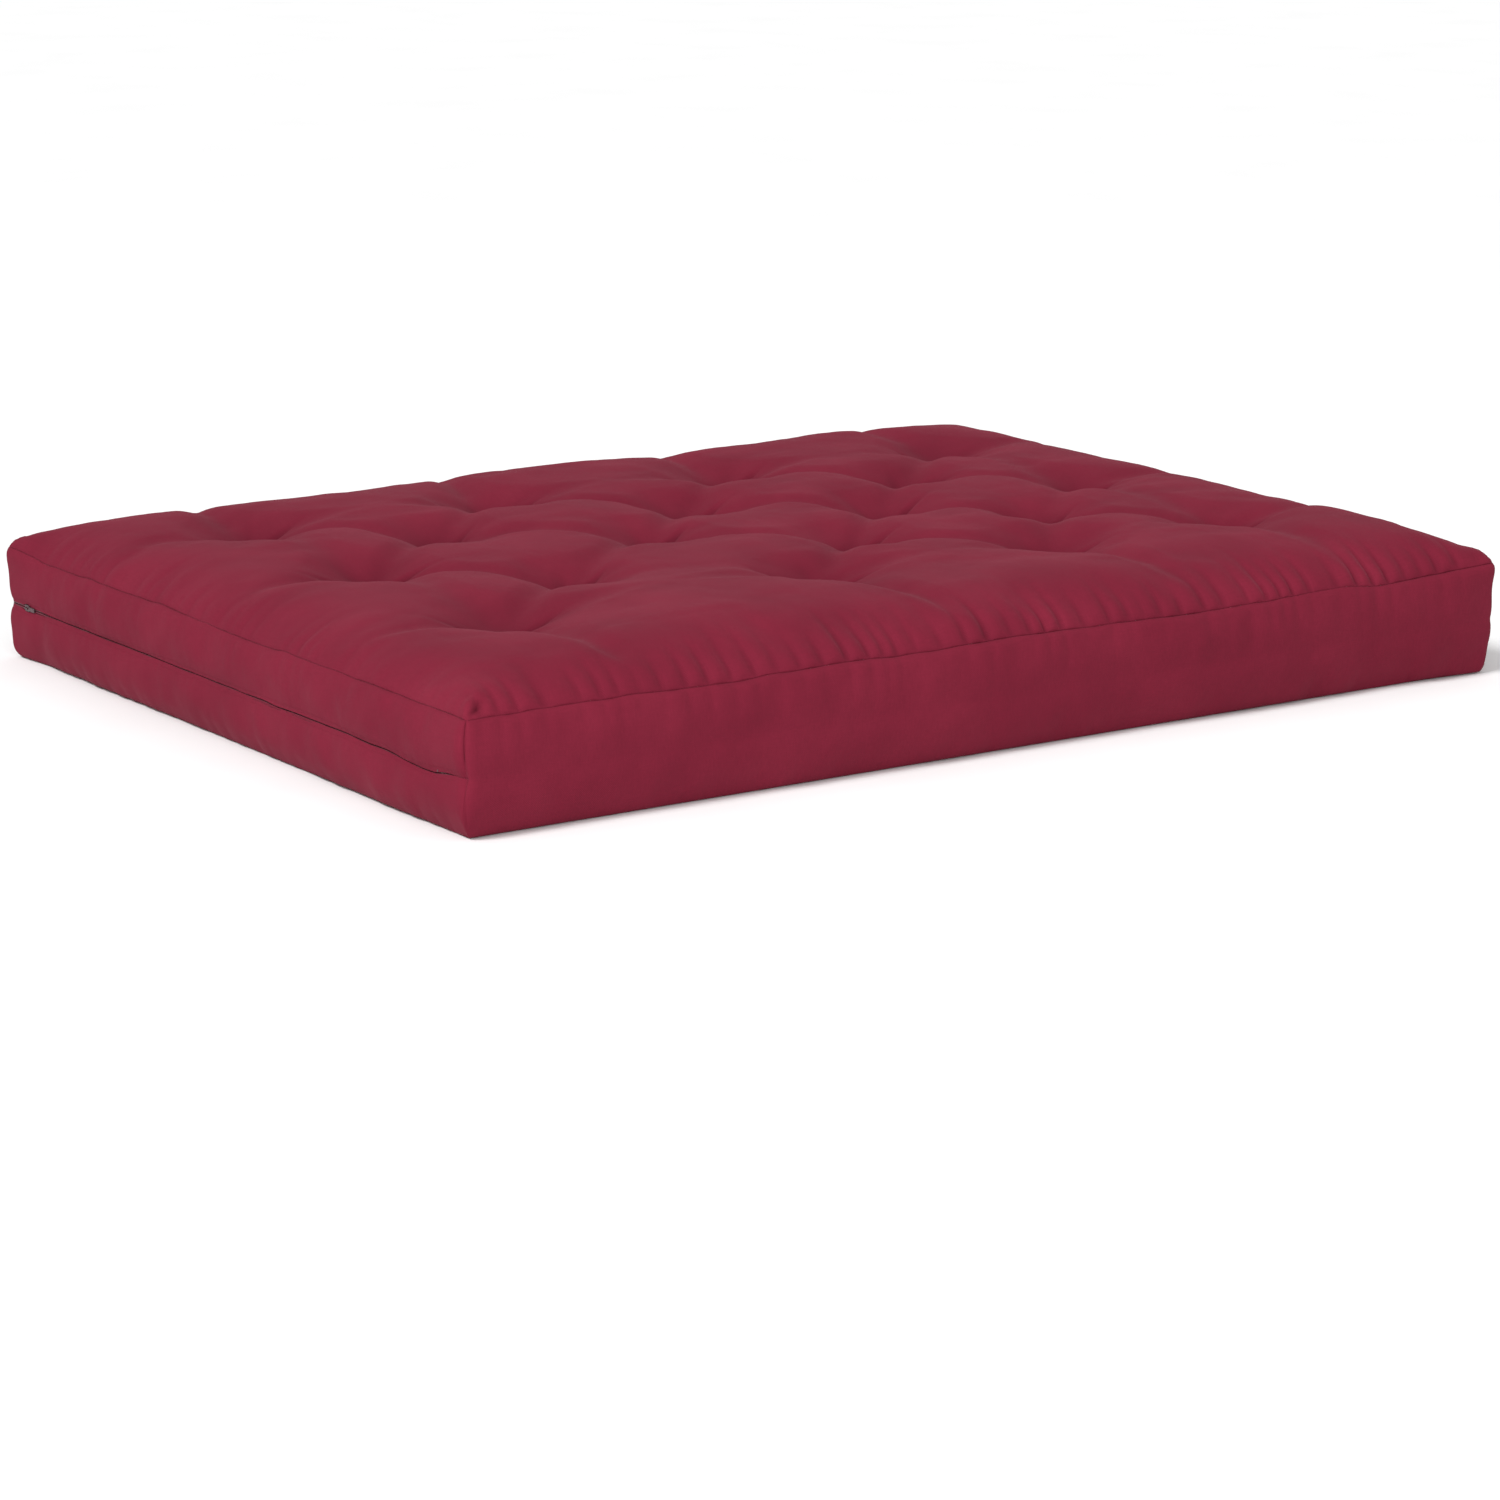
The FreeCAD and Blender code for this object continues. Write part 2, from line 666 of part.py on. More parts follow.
# ---------------------------------------------------------------- tuft ties
PAD_TOP = "%s + pad_thickness" % TICKING_FLOOR
PAD_BASE = "%s - pad_thickness" % TICKING_CEILING
for half, rows in (("seat", SEAT_ROWS), ("back", BACK_ROWS)):
    ties = []
    top_pads = []
    base_pads = []
    for row, column, x, y in TUFTS:
        if row not in rows:
            continue
        mark = "%d_%d" % (row, column)
        strand = cylinder("strand_" + mark, "twine_radius", x, y, PAD_BASE, PAD_TOP)
        top_knot = cylinder("top_knot_" + mark, "knot_radius", x, y, PAD_TOP, PAD_TOP + " + knot_height")
        base_knot = cylinder("base_knot_" + mark, "knot_radius", x, y,
                             PAD_BASE + " - knot_height", PAD_BASE)
        ties.append(fuse("tie_" + mark, [strand, top_knot, base_knot]))
        for pads, low, high in ((top_pads, TICKING_FLOOR, PAD_TOP), (base_pads, PAD_BASE, TICKING_CEILING)):
            level = "top" if pads is top_pads else "base"
            disc = cylinder("%s_disc_%s" % (level, mark), "pad_radius", x, y, low, high)
            hole = cylinder("%s_eye_%s" % (level, mark), "twine_hole", x, y,
                            "( %s ) - 1" % low, "( %s ) + 1" % high)
            pads.append(cut("%s_pad_%s" % (level, mark), disc, hole))
    keep("tuft_ties_" + half, group("tuft_ties_" + half, ties))
    keep("tuft_pads_top_" + half, group("tuft_pads_top_" + half, top_pads))
    keep("tuft_pads_base_" + half, group("tuft_pads_base_" + half, base_pads))

# ---------------------------------------------------------------- checks and export
doc.recompute()
for item in doc.Objects:
    if "Invalid" in item.State or "Error" in item.State:
        raise RuntimeError("%s did not compute: %s" % (item.Name, item.State))
for name, item in PARTS.items():
    if item.Shape.isNull() or not item.Shape.isValid() or not item.Shape.Solids:
        raise RuntimeError("%s has no valid solid" % name)
    item.Shape.exportStep(os.path.join("parts", name + ".step"))
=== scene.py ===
import math

import bpy
import numpy as np
from mathutils import Matrix, Vector


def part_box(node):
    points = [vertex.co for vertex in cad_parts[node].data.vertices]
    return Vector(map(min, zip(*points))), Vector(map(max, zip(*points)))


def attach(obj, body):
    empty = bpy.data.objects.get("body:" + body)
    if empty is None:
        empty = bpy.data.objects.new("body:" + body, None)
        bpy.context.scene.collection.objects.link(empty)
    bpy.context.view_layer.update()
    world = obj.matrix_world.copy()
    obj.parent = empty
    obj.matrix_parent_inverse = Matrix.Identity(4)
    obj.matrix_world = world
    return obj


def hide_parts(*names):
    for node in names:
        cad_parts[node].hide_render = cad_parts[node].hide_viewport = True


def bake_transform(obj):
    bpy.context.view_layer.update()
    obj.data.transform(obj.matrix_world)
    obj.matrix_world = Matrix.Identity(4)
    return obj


# Futon mattress: a zip-off burgundy cover over a tufted cotton and foam inner mattress.
# Metres.  X runs along the length, Y from the front edge to the rear, Z up.

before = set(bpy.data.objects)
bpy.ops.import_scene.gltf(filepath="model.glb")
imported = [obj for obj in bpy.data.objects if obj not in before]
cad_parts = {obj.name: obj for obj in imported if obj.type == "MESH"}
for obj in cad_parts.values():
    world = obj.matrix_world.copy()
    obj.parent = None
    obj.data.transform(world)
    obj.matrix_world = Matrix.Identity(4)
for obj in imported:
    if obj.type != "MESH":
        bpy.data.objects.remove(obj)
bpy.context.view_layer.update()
MM = 0.001
APART = 60 * MM

# ---------------------------------------------------------------- sizes read from the frame
TOP_LOW, TOP_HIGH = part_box("cover_top_seat")
BASE_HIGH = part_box("cover_base_seat")[1]
COIL_LOW, COIL_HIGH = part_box("zip_coil_upper_seat_left")
TAPE_LOW, TAPE_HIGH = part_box("zip_tape_upper_seat_left")
HALF_X = TOP_HIGH.x
HALF_Y = -TOP_LOW.y
SEAM_Z = TOP_LOW.z
CROWN_Z = TOP_HIGH.z
ZIP_Z = (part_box("zip_coil_lower_seat_left")[1].z + COIL_LOW.z) / 2
ZIP_START = TAPE_LOW.y
COIL_IN, COIL_OUT = -HALF_X - COIL_HIGH.x, -HALF_X - COIL_LOW.x
TAPE_OUT = -HALF_X - (TAPE_LOW.x + TAPE_HIGH.x) / 2
TAPE_NEAR, TAPE_FAR = TAPE_LOW.z - ZIP_Z, TAPE_HIGH.z - ZIP_Z
FOOT_TUCK = HALF_X - BASE_HIGH.x
FRONT_SWELL = -HALF_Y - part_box("cover_front")[0].y
UPPER_SWELL = -HALF_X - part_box("cover_left_upper_back")[0].x
LOWER_SWELL = -HALF_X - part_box("cover_left_lower_back")[0].x
TUFT_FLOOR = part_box("tuft_pads_top_back")[1].z
TIE_LOW, TIE_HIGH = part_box("tuft_ties_back")
PAD_LOW, PAD_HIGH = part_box("tuft_pads_top_back")
BASE_PAD_LOW, BASE_PAD_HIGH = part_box("tuft_pads_base_back")
SLIDER_Y = sum(corner.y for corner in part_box("slider_left")) / 2
SLIDER_X = sum(corner.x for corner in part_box("slider_rear")) / 2


def island_centres(node):
    """Middle of each separate disc in a CAD node that groups several."""
    centres = []
    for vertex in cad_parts[node].data.vertices:
        near = [c for c in centres if (c[0] - vertex.co.xy).length < APART]
        if near:
            near[0][1].append(vertex.co.xy)
        else:
            centres.append((vertex.co.xy.copy(), [vertex.co.xy.copy()]))
    return [sum(points, Vector((0, 0))) / len(points) for _, points in centres]


TUFTS = sorted(
    island_centres("tuft_pads_top_seat") + island_centres("tuft_pads_top_back"),
    key=lambda c: (round(c.y, 2), c.x),
)

# ---------------------------------------------------------------- shape of the stuffed cover
CELLS_X = 150
CELLS_Y = 108
CELL = 2 * HALF_X / CELLS_X
UPPER_ROWS = 8
LOWER_ROWS = 9
FOOT_LEVEL = UPPER_ROWS + LOWER_ROWS
RIM_INSETS = (15 * MM, 40 * MM)
LIP_OUT = COIL_OUT + 0.4 * MM
CORNER_REACH = 45 * MM
CORNER_RADIUS = 12 * MM
SHARP_RADIUS = 7 * MM
START_CROWN = CROWN_Z - 7 * MM
SHOULDER_RUN = 225 * MM
SHOULDER_POWER = 2.8
EDGE_SHARE = 0.44
EDGE_RUN = 19 * MM
SWELL_HEIGHT = 7 * MM
SWELL_SIZE = 210 * MM
DIMPLE_CORE = 36 * MM
DIMPLE_SKIRT = 104 * MM
DIMPLE_COVER = 8 * MM
VALLEY_SHARPNESS = 4

# Each valley: its depth at the start, in the middle and at the end, and its width.
SLANTED_VALLEY = (28 * MM, 13 * MM, 28 * MM, 27 * MM)
ROW_VALLEY = (25 * MM, 7 * MM, 25 * MM, 28 * MM)
BORDER_VALLEY = (29 * MM, 15 * MM, 4 * MM, 32 * MM)
SIDE_VALLEY = (27 * MM, 11 * MM, 27 * MM, 30 * MM)
END_VALLEY = (24 * MM, 10 * MM, 2 * MM, 36 * MM)
BORDER_LEANS = (20 * MM, 50 * MM, 30 * MM, -20 * MM)
SLANT_REACH = 330 * MM

NOISE_TABLE = 256
NOISE_SHIFT = 4096


def value_noise(x, y, scale, seed):
    """Smooth noise between -1 and 1, with bumps about one scale across."""
    table = np.random.RandomState(seed).uniform(-1, 1, (NOISE_TABLE, NOISE_TABLE))
    u, v = x / scale + NOISE_SHIFT, y / scale + NOISE_SHIFT
    i, j = np.floor(u).astype(int), np.floor(v).astype(int)
    fu, fv = u - i, v - j
    fu, fv = (f * f * f * (f * (6 * f - 15) + 10) for f in (fu, fv))
    a, b = i % NOISE_TABLE, j % NOISE_TABLE
    c, d = (i + 1) % NOISE_TABLE, (j + 1) % NOISE_TABLE
    low = table[a, b] + fu * (table[c, b] - table[a, b])
    high = table[a, d] + fu * (table[c, d] - table[a, d])
    return low + fv * (high - low)


def shoulder(distance):
    """Share of the crown's rise at a distance in from a seam."""
    t = np.clip(distance / SHOULDER_RUN, 0, 1)
    edge = 1 - np.exp(-np.maximum(distance, 0) / EDGE_RUN)
    return EDGE_SHARE * edge + (1 - EDGE_SHARE) * (1 - (1 - t) ** SHOULDER_POWER)


def dimple(radius):
    """Share of a tuft's depth at a distance from it."""
    core = np.exp(-(radius / DIMPLE_CORE) ** 1.15)
    return 0.5 * core + 0.5 * np.exp(-(radius / DIMPLE_SKIRT) ** 2)


def tuft_rows():
    """The tufts as rows from front to rear."""
    rows = []
    for tuft in TUFTS:
        if rows and abs(rows[-1][0].y - tuft.y) < APART:
            rows[-1].append(tuft)
        else:
            rows.append([tuft])
    return rows


def valleys():
    """Lines along which the cloth sinks: (start, end, depth at start, middle and end, width)."""
    rows = tuft_rows()
    found = []
    for front, rear in zip(rows, rows[1:]):
        for a in front:
            for b in rear:
                if abs(a.x - b.x) < SLANT_REACH:
                    found.append((a, b, *SLANTED_VALLEY))
    for row in (rows[0], rows[-1]):
        for a, b in zip(row, row[1:]):
            found.append((a, b, *ROW_VALLEY))
        out = -1 if row is rows[0] else 1
        for a, lean in zip(row, BORDER_LEANS):
            found.append((a, Vector((a.x + lean, out * HALF_Y)), *BORDER_VALLEY))
    for front, rear in zip(rows[::2], rows[2::2]):
        for end in (0, -1):
            found.append((front[end], rear[end], *SIDE_VALLEY))
    for row in rows[::2]:
        for end, out in ((0, -1), (-1, 1)):
            a = row[end]
            found.append((a, Vector((out * HALF_X, a.y)), *END_VALLEY))
    return found


def sunk_depth(x, y):
    """Depth of the tufts and valleys under the full crown."""
    depth = CROWN_Z - TUFT_FLOOR - DIMPLE_COVER
    summed = np.zeros_like(x)
    for tuft in TUFTS:
        summed += (depth * dimple(np.hypot(x - tuft.x, y - tuft.y))) ** VALLEY_SHARPNESS
    for a, b, start, middle, end, width in valleys():
        run = b - a
        t = np.clip(((x - a.x) * run.x + (y - a.y) * run.y) / run.length_squared, 0, 1)
        side = np.hypot(x - a.x - t * run.x, y - a.y - t * run.y)
        near_a, near_b = np.clip(1 - 2 * t, 0, 1) ** 1.4, np.clip(2 * t - 1, 0, 1) ** 1.4
        deep = middle + (start - middle) * near_a + (end - middle) * near_b
        summed += (deep / np.cosh(side / width)) ** VALLEY_SHARPNESS
    return summed ** (1 / VALLEY_SHARPNESS)


def crown(x, y):
    """Height of the stuffed top panel over the plan, before it swells."""
    share_x, share_y = shoulder(HALF_X - abs(x)), shoulder(HALF_Y - abs(y))
    least = 0.001
    both = (np.maximum(share_x, least) ** -3 + np.maximum(share_y, least) ** -3 - 1) ** (-1 / 3)
    rise = (START_CROWN - SEAM_Z) * both
    swell = SWELL_HEIGHT * value_noise(x, y, SWELL_SIZE, 11) * share_x * share_y
    sunk = np.maximum(sunk_depth(x, y) - (CROWN_Z - START_CROWN), 0)
    return SEAM_Z + rise + swell - sunk * (0.15 + 0.85 * np.minimum(share_x, share_y))


def bulge(z, top, base, out_top, out_base, swell):
    """Outward offset at a height on cloth that bulges between two seams."""
    t = np.clip((z - base) / (top - base), 0, 1)
    return out_base + t * (out_top - out_base) + 4 * swell * t * (1 - t)


def front_offset(z):
    return bulge(z, SEAM_Z, 0, 0, -FOOT_TUCK, FRONT_SWELL + FOOT_TUCK / 2)


def zipped_offset(z):
    upper = bulge(z, SEAM_Z, ZIP_Z, 0, LIP_OUT, UPPER_SWELL - LIP_OUT / 2)
    lower = bulge(z, ZIP_Z, 0, LIP_OUT, -FOOT_TUCK, LOWER_SWELL + FOOT_TUCK / 2 - LIP_OUT / 2)
    return np.where(z > ZIP_Z, upper, lower)


def wall_points(x, y, z):
    """Points of the boxing at height z below the seam point (x, y)."""
    side = np.where(y < 0, front_offset(z), zipped_offset(z))
    end = zipped_offset(z)
    near_end = np.exp(-((HALF_X - abs(x)) / CORNER_REACH) ** 2)
    near_side = np.exp(-((HALF_Y - abs(y)) / CORNER_REACH) ** 2)
    return np.stack([
        x + np.sign(x) * end * near_end,
        y + np.sign(y) * side * near_side,
        np.full_like(x, z),
    ], axis=-1)


def perimeter(cells_x, cells_y):
    """Row and column of each border point of a grid, once round from the front-left corner."""
    front = [(0, i) for i in range(cells_x)]
    right = [(j, cells_x) for j in range(cells_y)]
    rear = [(cells_y, i) for i in range(cells_x, 0, -1)]
    left = [(j, 0) for j in range(cells_y, 0, -1)]
    return np.array(front + right + rear + left)


WALL_HEIGHTS = np.concatenate([
    np.linspace(SEAM_Z, ZIP_Z, UPPER_ROWS + 1),
    np.linspace(ZIP_Z, 0, LOWER_ROWS + 1)[1:],
])
RING = perimeter(CELLS_X, CELLS_Y)


def first_shape():
    """Start shape of the skin: the top grid and the wall rows below its border."""
    xs = np.linspace(-HALF_X, HALF_X, CELLS_X + 1)
    ys = np.linspace(-HALF_Y, HALF_Y, CELLS_Y + 1)
    x, y = np.meshgrid(xs, ys)
    top = np.stack([x, y, crown(x, y)], axis=-1)
    seam = top[RING[:, 0], RING[:, 1]]
    walls = [wall_points(seam[:, 0], seam[:, 1], z) for z in WALL_HEIGHTS[1:]]
    foot = walls[-1]
    for inset in RIM_INSETS:
        row = foot.copy()
        row[:, 0] *= 1 - inset / HALF_X
        row[:, 1] *= 1 - inset / HALF_Y
        walls.append(row)
    return top, np.array(walls)


def skin_faces():
    """Quads of the top grid, then of the wall rows."""
    index = np.arange((CELLS_X + 1) * (CELLS_Y + 1)).reshape(CELLS_Y + 1, CELLS_X + 1)
    rows = len(WALL_HEIGHTS) - 1 + len(RIM_INSETS)
    below = index.size + np.arange(rows * len(RING)).reshape(rows, -1)
    levels = np.vstack([index[RING[:, 0], RING[:, 1]], below])
    closed = np.hstack([levels, levels[:, :1]])
    return np.vstack([quads(index), quads(closed)[:, ::-1]]), levels


def quads(index):
    """Faces between neighbouring points of a grid of vertex numbers."""
    corners = [index[:-1, :-1], index[:-1, 1:], index[1:, 1:], index[1:, :-1]]
    return np.stack(corners, -1).reshape(-1, 4)


def mesh_object(name, points, *face_sets):
    """Object with a smooth-shaded mesh; each set holds faces with the same number of corners."""
    mesh = bpy.data.meshes.new(name)
    mesh.vertices.add(len(points))
    mesh.vertices.foreach_set("co", np.asarray(points, np.float32).ravel())
    corners = np.concatenate([np.ravel(faces) for faces in face_sets])
    sides = np.concatenate([np.full(len(faces), faces.shape[1]) for faces in face_sets])
    mesh.loops.add(len(corners))
    mesh.loops.foreach_set("vertex_index", corners)
    mesh.polygons.add(len(sides))
    mesh.polygons.foreach_set("loop_start", np.cumsum(sides) - sides)
    mesh.polygons.foreach_set("use_smooth", np.ones(len(sides), bool))
    mesh.update(calc_edges=True)
    mesh.validate()
    item = bpy.data.objects.new(name, mesh)
    bpy.context.scene.collection.objects.link(item)
    return item


# ---------------------------------------------------------------- cloth simulation
SIM_FRAMES = 20
TOP_CAP = 17 * MM
WALL_CAP = 8 * MM
SPARE_LENGTH = 0.022
PRESSURE = 5
CLOTH_MASS = 0.3
STRETCH_STIFFNESS = 15
EASE_PASSES = 2
TUFT_HOLD_REACH = 20 * MM
SEAM_HOLD = 0.75
ZIP_HOLD = 0.8
SEWN_SHARES = ((-2, 0.2), (-1, 0.6), (0, 1), (1, 0.6), (2, 0.2))


def pin_weights(top, levels, count):
    """How firmly each point of the skin is held while it inflates."""
    weights = np.zeros(count)
    flat = top.reshape(-1, 3)
    for tuft in TUFTS:
        radius = np.hypot(flat[:, 0] - tuft.x, flat[:, 1] - tuft.y)
        held = np.clip(1.6 - radius / TUFT_HOLD_REACH, 0, 1)
        weights[:len(flat)] = np.maximum(weights[:len(flat)], held)
    weights[levels[0]] = SEAM_HOLD
    weights[levels[UPPER_ROWS]] = ZIP_HOLD
    weights[levels[FOOT_LEVEL - 1:]] = 1
    return weights


def cloth_modifier(item):
    """Cloth with pressure inside and no gravity, held by the item's vertex group."""
    modifier = item.modifiers.new("cloth", "CLOTH")
    settings = modifier.settings
    settings.quality = 5
    settings.mass = CLOTH_MASS
    settings.tension_stiffness = STRETCH_STIFFNESS
    settings.compression_stiffness = STRETCH_STIFFNESS
    settings.shear_stiffness = 0.4 * STRETCH_STIFFNESS
    settings.bending_stiffness = 0.5
    settings.vertex_group_mass = "held"
    settings.pin_stiffness = 1
    settings.use_pressure = True
    settings.uniform_pressure_force = PRESSURE
    settings.shrink_min = -SPARE_LENGTH
    settings.effector_weights.gravity = 0
    modifier.collision_settings.use_collision = False
    modifier.point_cache.frame_end = SIM_FRAMES + 1


def simulated(item):
    """Points of the item after its cloth has run."""
    scene = bpy.context.scene
    for step in range(1, SIM_FRAMES + 1):
        scene.frame_set(step)
    evaluated = item.evaluated_get(bpy.context.evaluated_depsgraph_get())
    moved = np.zeros(len(item.data.vertices) * 3, np.float32)
    evaluated.data.vertices.foreach_get("co", moved)
    scene.frame_set(1)
    return moved.reshape(-1, 3)


def eased(shift):
    """Shift of a grid of points with its smallest wrinkles taken out."""
    for _ in range(EASE_PASSES):
        for axis in (0, 1):
            ends = np.concatenate([shift.take([0], axis), shift, shift.take([-1], axis)], axis)
            count = shift.shape[axis]
            before, after = (ends.take(range(k, k + count), axis) for k in (0, 2))
            shift = (before + 2 * shift + after) / 4
    return shift


def inflate(top, walls):
    """Let the skin swell as cloth with a little spare length, held at tufts and seams."""
    points = np.vstack([top.reshape(-1, 3), walls.reshape(-1, 3)])
    faces, levels = skin_faces()
    item = mesh_object("skin_sim", points, faces)
    group = item.vertex_groups.new(name="held")
    weights = pin_weights(top, levels, len(points))
    for index in np.nonzero(weights)[0]:
        group.add([int(index)], float(weights[index]), "REPLACE")
    cloth_modifier(item)
    shift = simulated(item) - points
    bpy.data.objects.remove(item)
    count = top.shape[0] * top.shape[1]
    shift = np.vstack([eased(shift[:count].reshape(top.shape)).reshape(-1, 3),
                       eased(shift[count:].reshape(walls.shape)).reshape(-1, 3)])
    length = np.linalg.norm(shift, axis=1, keepdims=True)
    cap = np.where(np.arange(len(points)) < count, TOP_CAP, WALL_CAP)[:, None]
    shift *= cap * np.tanh(length / cap) / np.maximum(length, 1e-9)
    print("skin moved by at most %.1f mm" % (1000 * np.linalg.norm(shift, axis=1).max()))
    settled = points + shift
    walls_settled = settled[count:].reshape(walls.shape)
    sewn_back(walls_settled, walls)
    return settled[:count].reshape(top.shape), walls_settled


def sewn_back(walls, start):
    """Bring the zip line and the foot back to the lines that they are sewn to."""
    for level in (UPPER_ROWS - 1, FOOT_LEVEL - 1):
        shift = (walls - start)[level]
        for step, share in SEWN_SHARES:
            walls[level + step] -= share * shift


top_shape, wall_shape = inflate(*first_shape())


# ---------------------------------------------------------------- room for the knots and pads
KNOT_ROOM = 2.5 * MM
KNOT_REACH = 12 * MM
PAD_ROOM = 1.6 * MM
PAD_REACH = 16 * MM
PAD_SLOPE = 0.6


def clear_of_knots(top, reach):
    """Lift the bottom of each dimple just over the knot and the pad under it."""
    for tuft in TUFTS:
        radius = np.hypot(top[..., 0] - tuft.x, top[..., 1] - tuft.y)
        lift = max(TIE_HIGH.z + KNOT_ROOM - top[..., 2][radius < KNOT_REACH].min(), 0)
        top[..., 2] += lift * np.exp(-(radius / reach) ** 2)
        lowest = PAD_HIGH.z + PAD_ROOM - PAD_SLOPE * np.maximum(radius - PAD_REACH, 0)
        top[..., 2] = np.maximum(top[..., 2], lowest)


clear_of_knots(top_shape, 34 * MM)

# ---------------------------------------------------------------- finer grids, panel by panel
FINE = 0.4
SEAM_STEPS = np.array([1.2, 2.7, 4.6, 7.2]) * MM
ROLL_DEPTH = 3.2 * MM
ROLL_REACH = 3.6 * MM
SEAM_EDGE = 5 * MM
ZIP_RUN_OUT = 14 * MM
BLUNT_REACH = 32 * MM


def spline(grid, at):
    """Grid sampled at fractional rows by a Catmull-Rom spline."""
    last = len(grid) - 1
    ends = [2 * grid[:1] - grid[1:2], grid, 2 * grid[-1:] - grid[-2:-1]]
    padded = np.concatenate(ends)
    base = np.minimum(np.floor(at).astype(int), last - 1)
    t = (at - base).reshape(-1, *([1] * (grid.ndim - 1)))
    p0, p1, p2, p3 = (padded[base + k] for k in range(4))
    square = 2 * p0 - 5 * p1 + 4 * p2 - p3
    cube = 3 * p1 - p0 - 3 * p2 + p3
    return 0.5 * (2 * p1 + (p2 - p0) * t + square * t * t + cube * t ** 3)


def resample(grid, rows, columns):
    """Grid sampled at fractional rows and columns."""
    return np.swapaxes(spline(np.swapaxes(spline(grid, rows), 0, 1), columns), 0, 1)


def places(cells, cell, step=FINE):
    """Fractional rows or columns: evenly spaced, and closer beside the seams at both ends."""
    count = int(round(cells / step))
    even = np.linspace(0, cells, count + 1)
    near = SEAM_STEPS / cell
    clear = near[-1] * 1.2
    even = even[(even == 0) | (even == cells) | ((even > clear) & (even < cells - clear))]
    return np.unique(np.concatenate([even, near, cells - near]))


COLUMNS_X = places(CELLS_X, CELL)
COLUMNS_Y = places(CELLS_Y, 2 * HALF_Y / CELLS_Y)
UPPER_PLACES = places(UPPER_ROWS, (SEAM_Z - ZIP_Z) / UPPER_ROWS, 0.5)
LOWER_PLACES = places(LOWER_ROWS, ZIP_Z / LOWER_ROWS, 0.5)
ALONG_X = COLUMNS_X / CELLS_X * 2 * HALF_X - HALF_X
ALONG_Y = COLUMNS_Y / CELLS_Y * 2 * HALF_Y - HALF_Y
HEIGHTS = np.interp(np.arange(FOOT_LEVEL + 1), np.arange(len(WALL_HEIGHTS)), WALL_HEIGHTS)


def rounded(points):
    """Points with the square corners of the plan drawn in to an arc, widest at the zip."""
    blunt = np.exp(-((points[..., 2] - ZIP_Z) / BLUNT_REACH) ** 2)
    radius = SHARP_RADIUS + (CORNER_RADIUS - SHARP_RADIUS) * blunt
    over_x = abs(points[..., 0]) - (HALF_X - radius)
    over_y = abs(points[..., 1]) - (HALF_Y - radius)
    inside = (over_x > 0) & (over_y > 0)
    reach = np.hypot(over_x, over_y)
    drawn = np.where(inside, np.maximum(over_x, over_y) / np.maximum(reach, 1e-9), 1)
    result = points.copy()
    for axis, over in ((0, over_x), (1, over_y)):
        moved = np.sign(points[..., axis]) * (abs(points[..., axis]) - over * (1 - drawn))
        result[..., axis] = np.where(inside, moved, points[..., axis])
    return result


def outward(x, y):
    """Level direction out of the outline, beside the point (x, y) of the square plan."""
    over_x = np.maximum(abs(x) - (HALF_X - CORNER_RADIUS), 0)
    over_y = np.maximum(abs(y) - (HALF_Y - CORNER_RADIUS), 0)
    neither = (over_x == 0) & (over_y == 0)
    by_end = HALF_X - abs(x) < HALF_Y - abs(y)
    over_x = np.where(neither & by_end, 1, over_x)
    over_y = np.where(neither & ~by_end, 1, over_y)
    reach = np.hypot(over_x, over_y)
    level = [np.sign(x) * over_x / reach, np.sign(y) * over_y / reach]
    return np.stack([*level, np.zeros_like(reach)], -1)


def leaning(out, level, rise):
    """Direction that leans up from an outward one."""
    return (out * level + np.array([0, 0, rise])) / math.hypot(level, rise)


def grid_normals(grid):
    """Unit normals of a grid of points, to the side from which its rows turn left into its columns."""
    normals = np.cross(np.gradient(grid, axis=1), np.gradient(grid, axis=0))
    return normals / np.maximum(np.linalg.norm(normals, axis=-1, keepdims=True), 1e-12)


# ---------------------------------------------------------------- puckers, pleats and wrinkles
CORNER_OUT = 8 * MM
CORNER_IN = 5 * MM
CORNER_UP = 9 * MM
CORNER_SIZE = 75 * MM
SEAM_FLARE = 26 * MM
BULGE_FLARE = 24 * MM
UPPER_BULGE = 42 * MM
LOWER_BULGE = 46 * MM
FLARE_FADE = 40 * MM

GATHER_SPACING = 38 * MM
GATHER_REACH = 36 * MM
FRONT_SEED, REAR_SEED, LEFT_SEED, RIGHT_SEED = 31, 41, 51, 61
SWAY_SEED = 300
SEAM_END = 30 * MM

# Ranges in millimetres for the creases that start at a tuft.
CREASE_DEPTHS = (9, 13)
CREASE_LENGTHS = (48, 72)
CREASE_WIDTH = 5.5 * MM
PLEAT_DEPTHS = (2.0, 5.0)
PLEAT_LENGTHS = (45, 100)
PLEAT_WIDTHS = (7.5, 13)
PLEAT_TURN = 1.15


def gathers(along, distance, seed, height, spacing=GATHER_SPACING, reach=GATHER_REACH):
    """Puckers that run away from a seam: their height at a distance from it."""
    still = np.zeros_like(along)
    phase = 2 * math.pi * along / spacing + 3.0 * value_noise(along, still, 95 * MM, seed)
    wave = np.cos(phase)
    shape = 0.45 * (1 + wave) - 0.95 * np.exp(-(1 + wave) / 0.3)
    strength = 0.55 + 0.45 * value_noise(along, still + 7, 61 * MM, seed + 1)
    length = reach * (1 + 0.5 * value_noise(along, still + 3, 44 * MM, seed + 2))
    return height * strength * shape * np.exp(-(distance / length) ** 1.3)


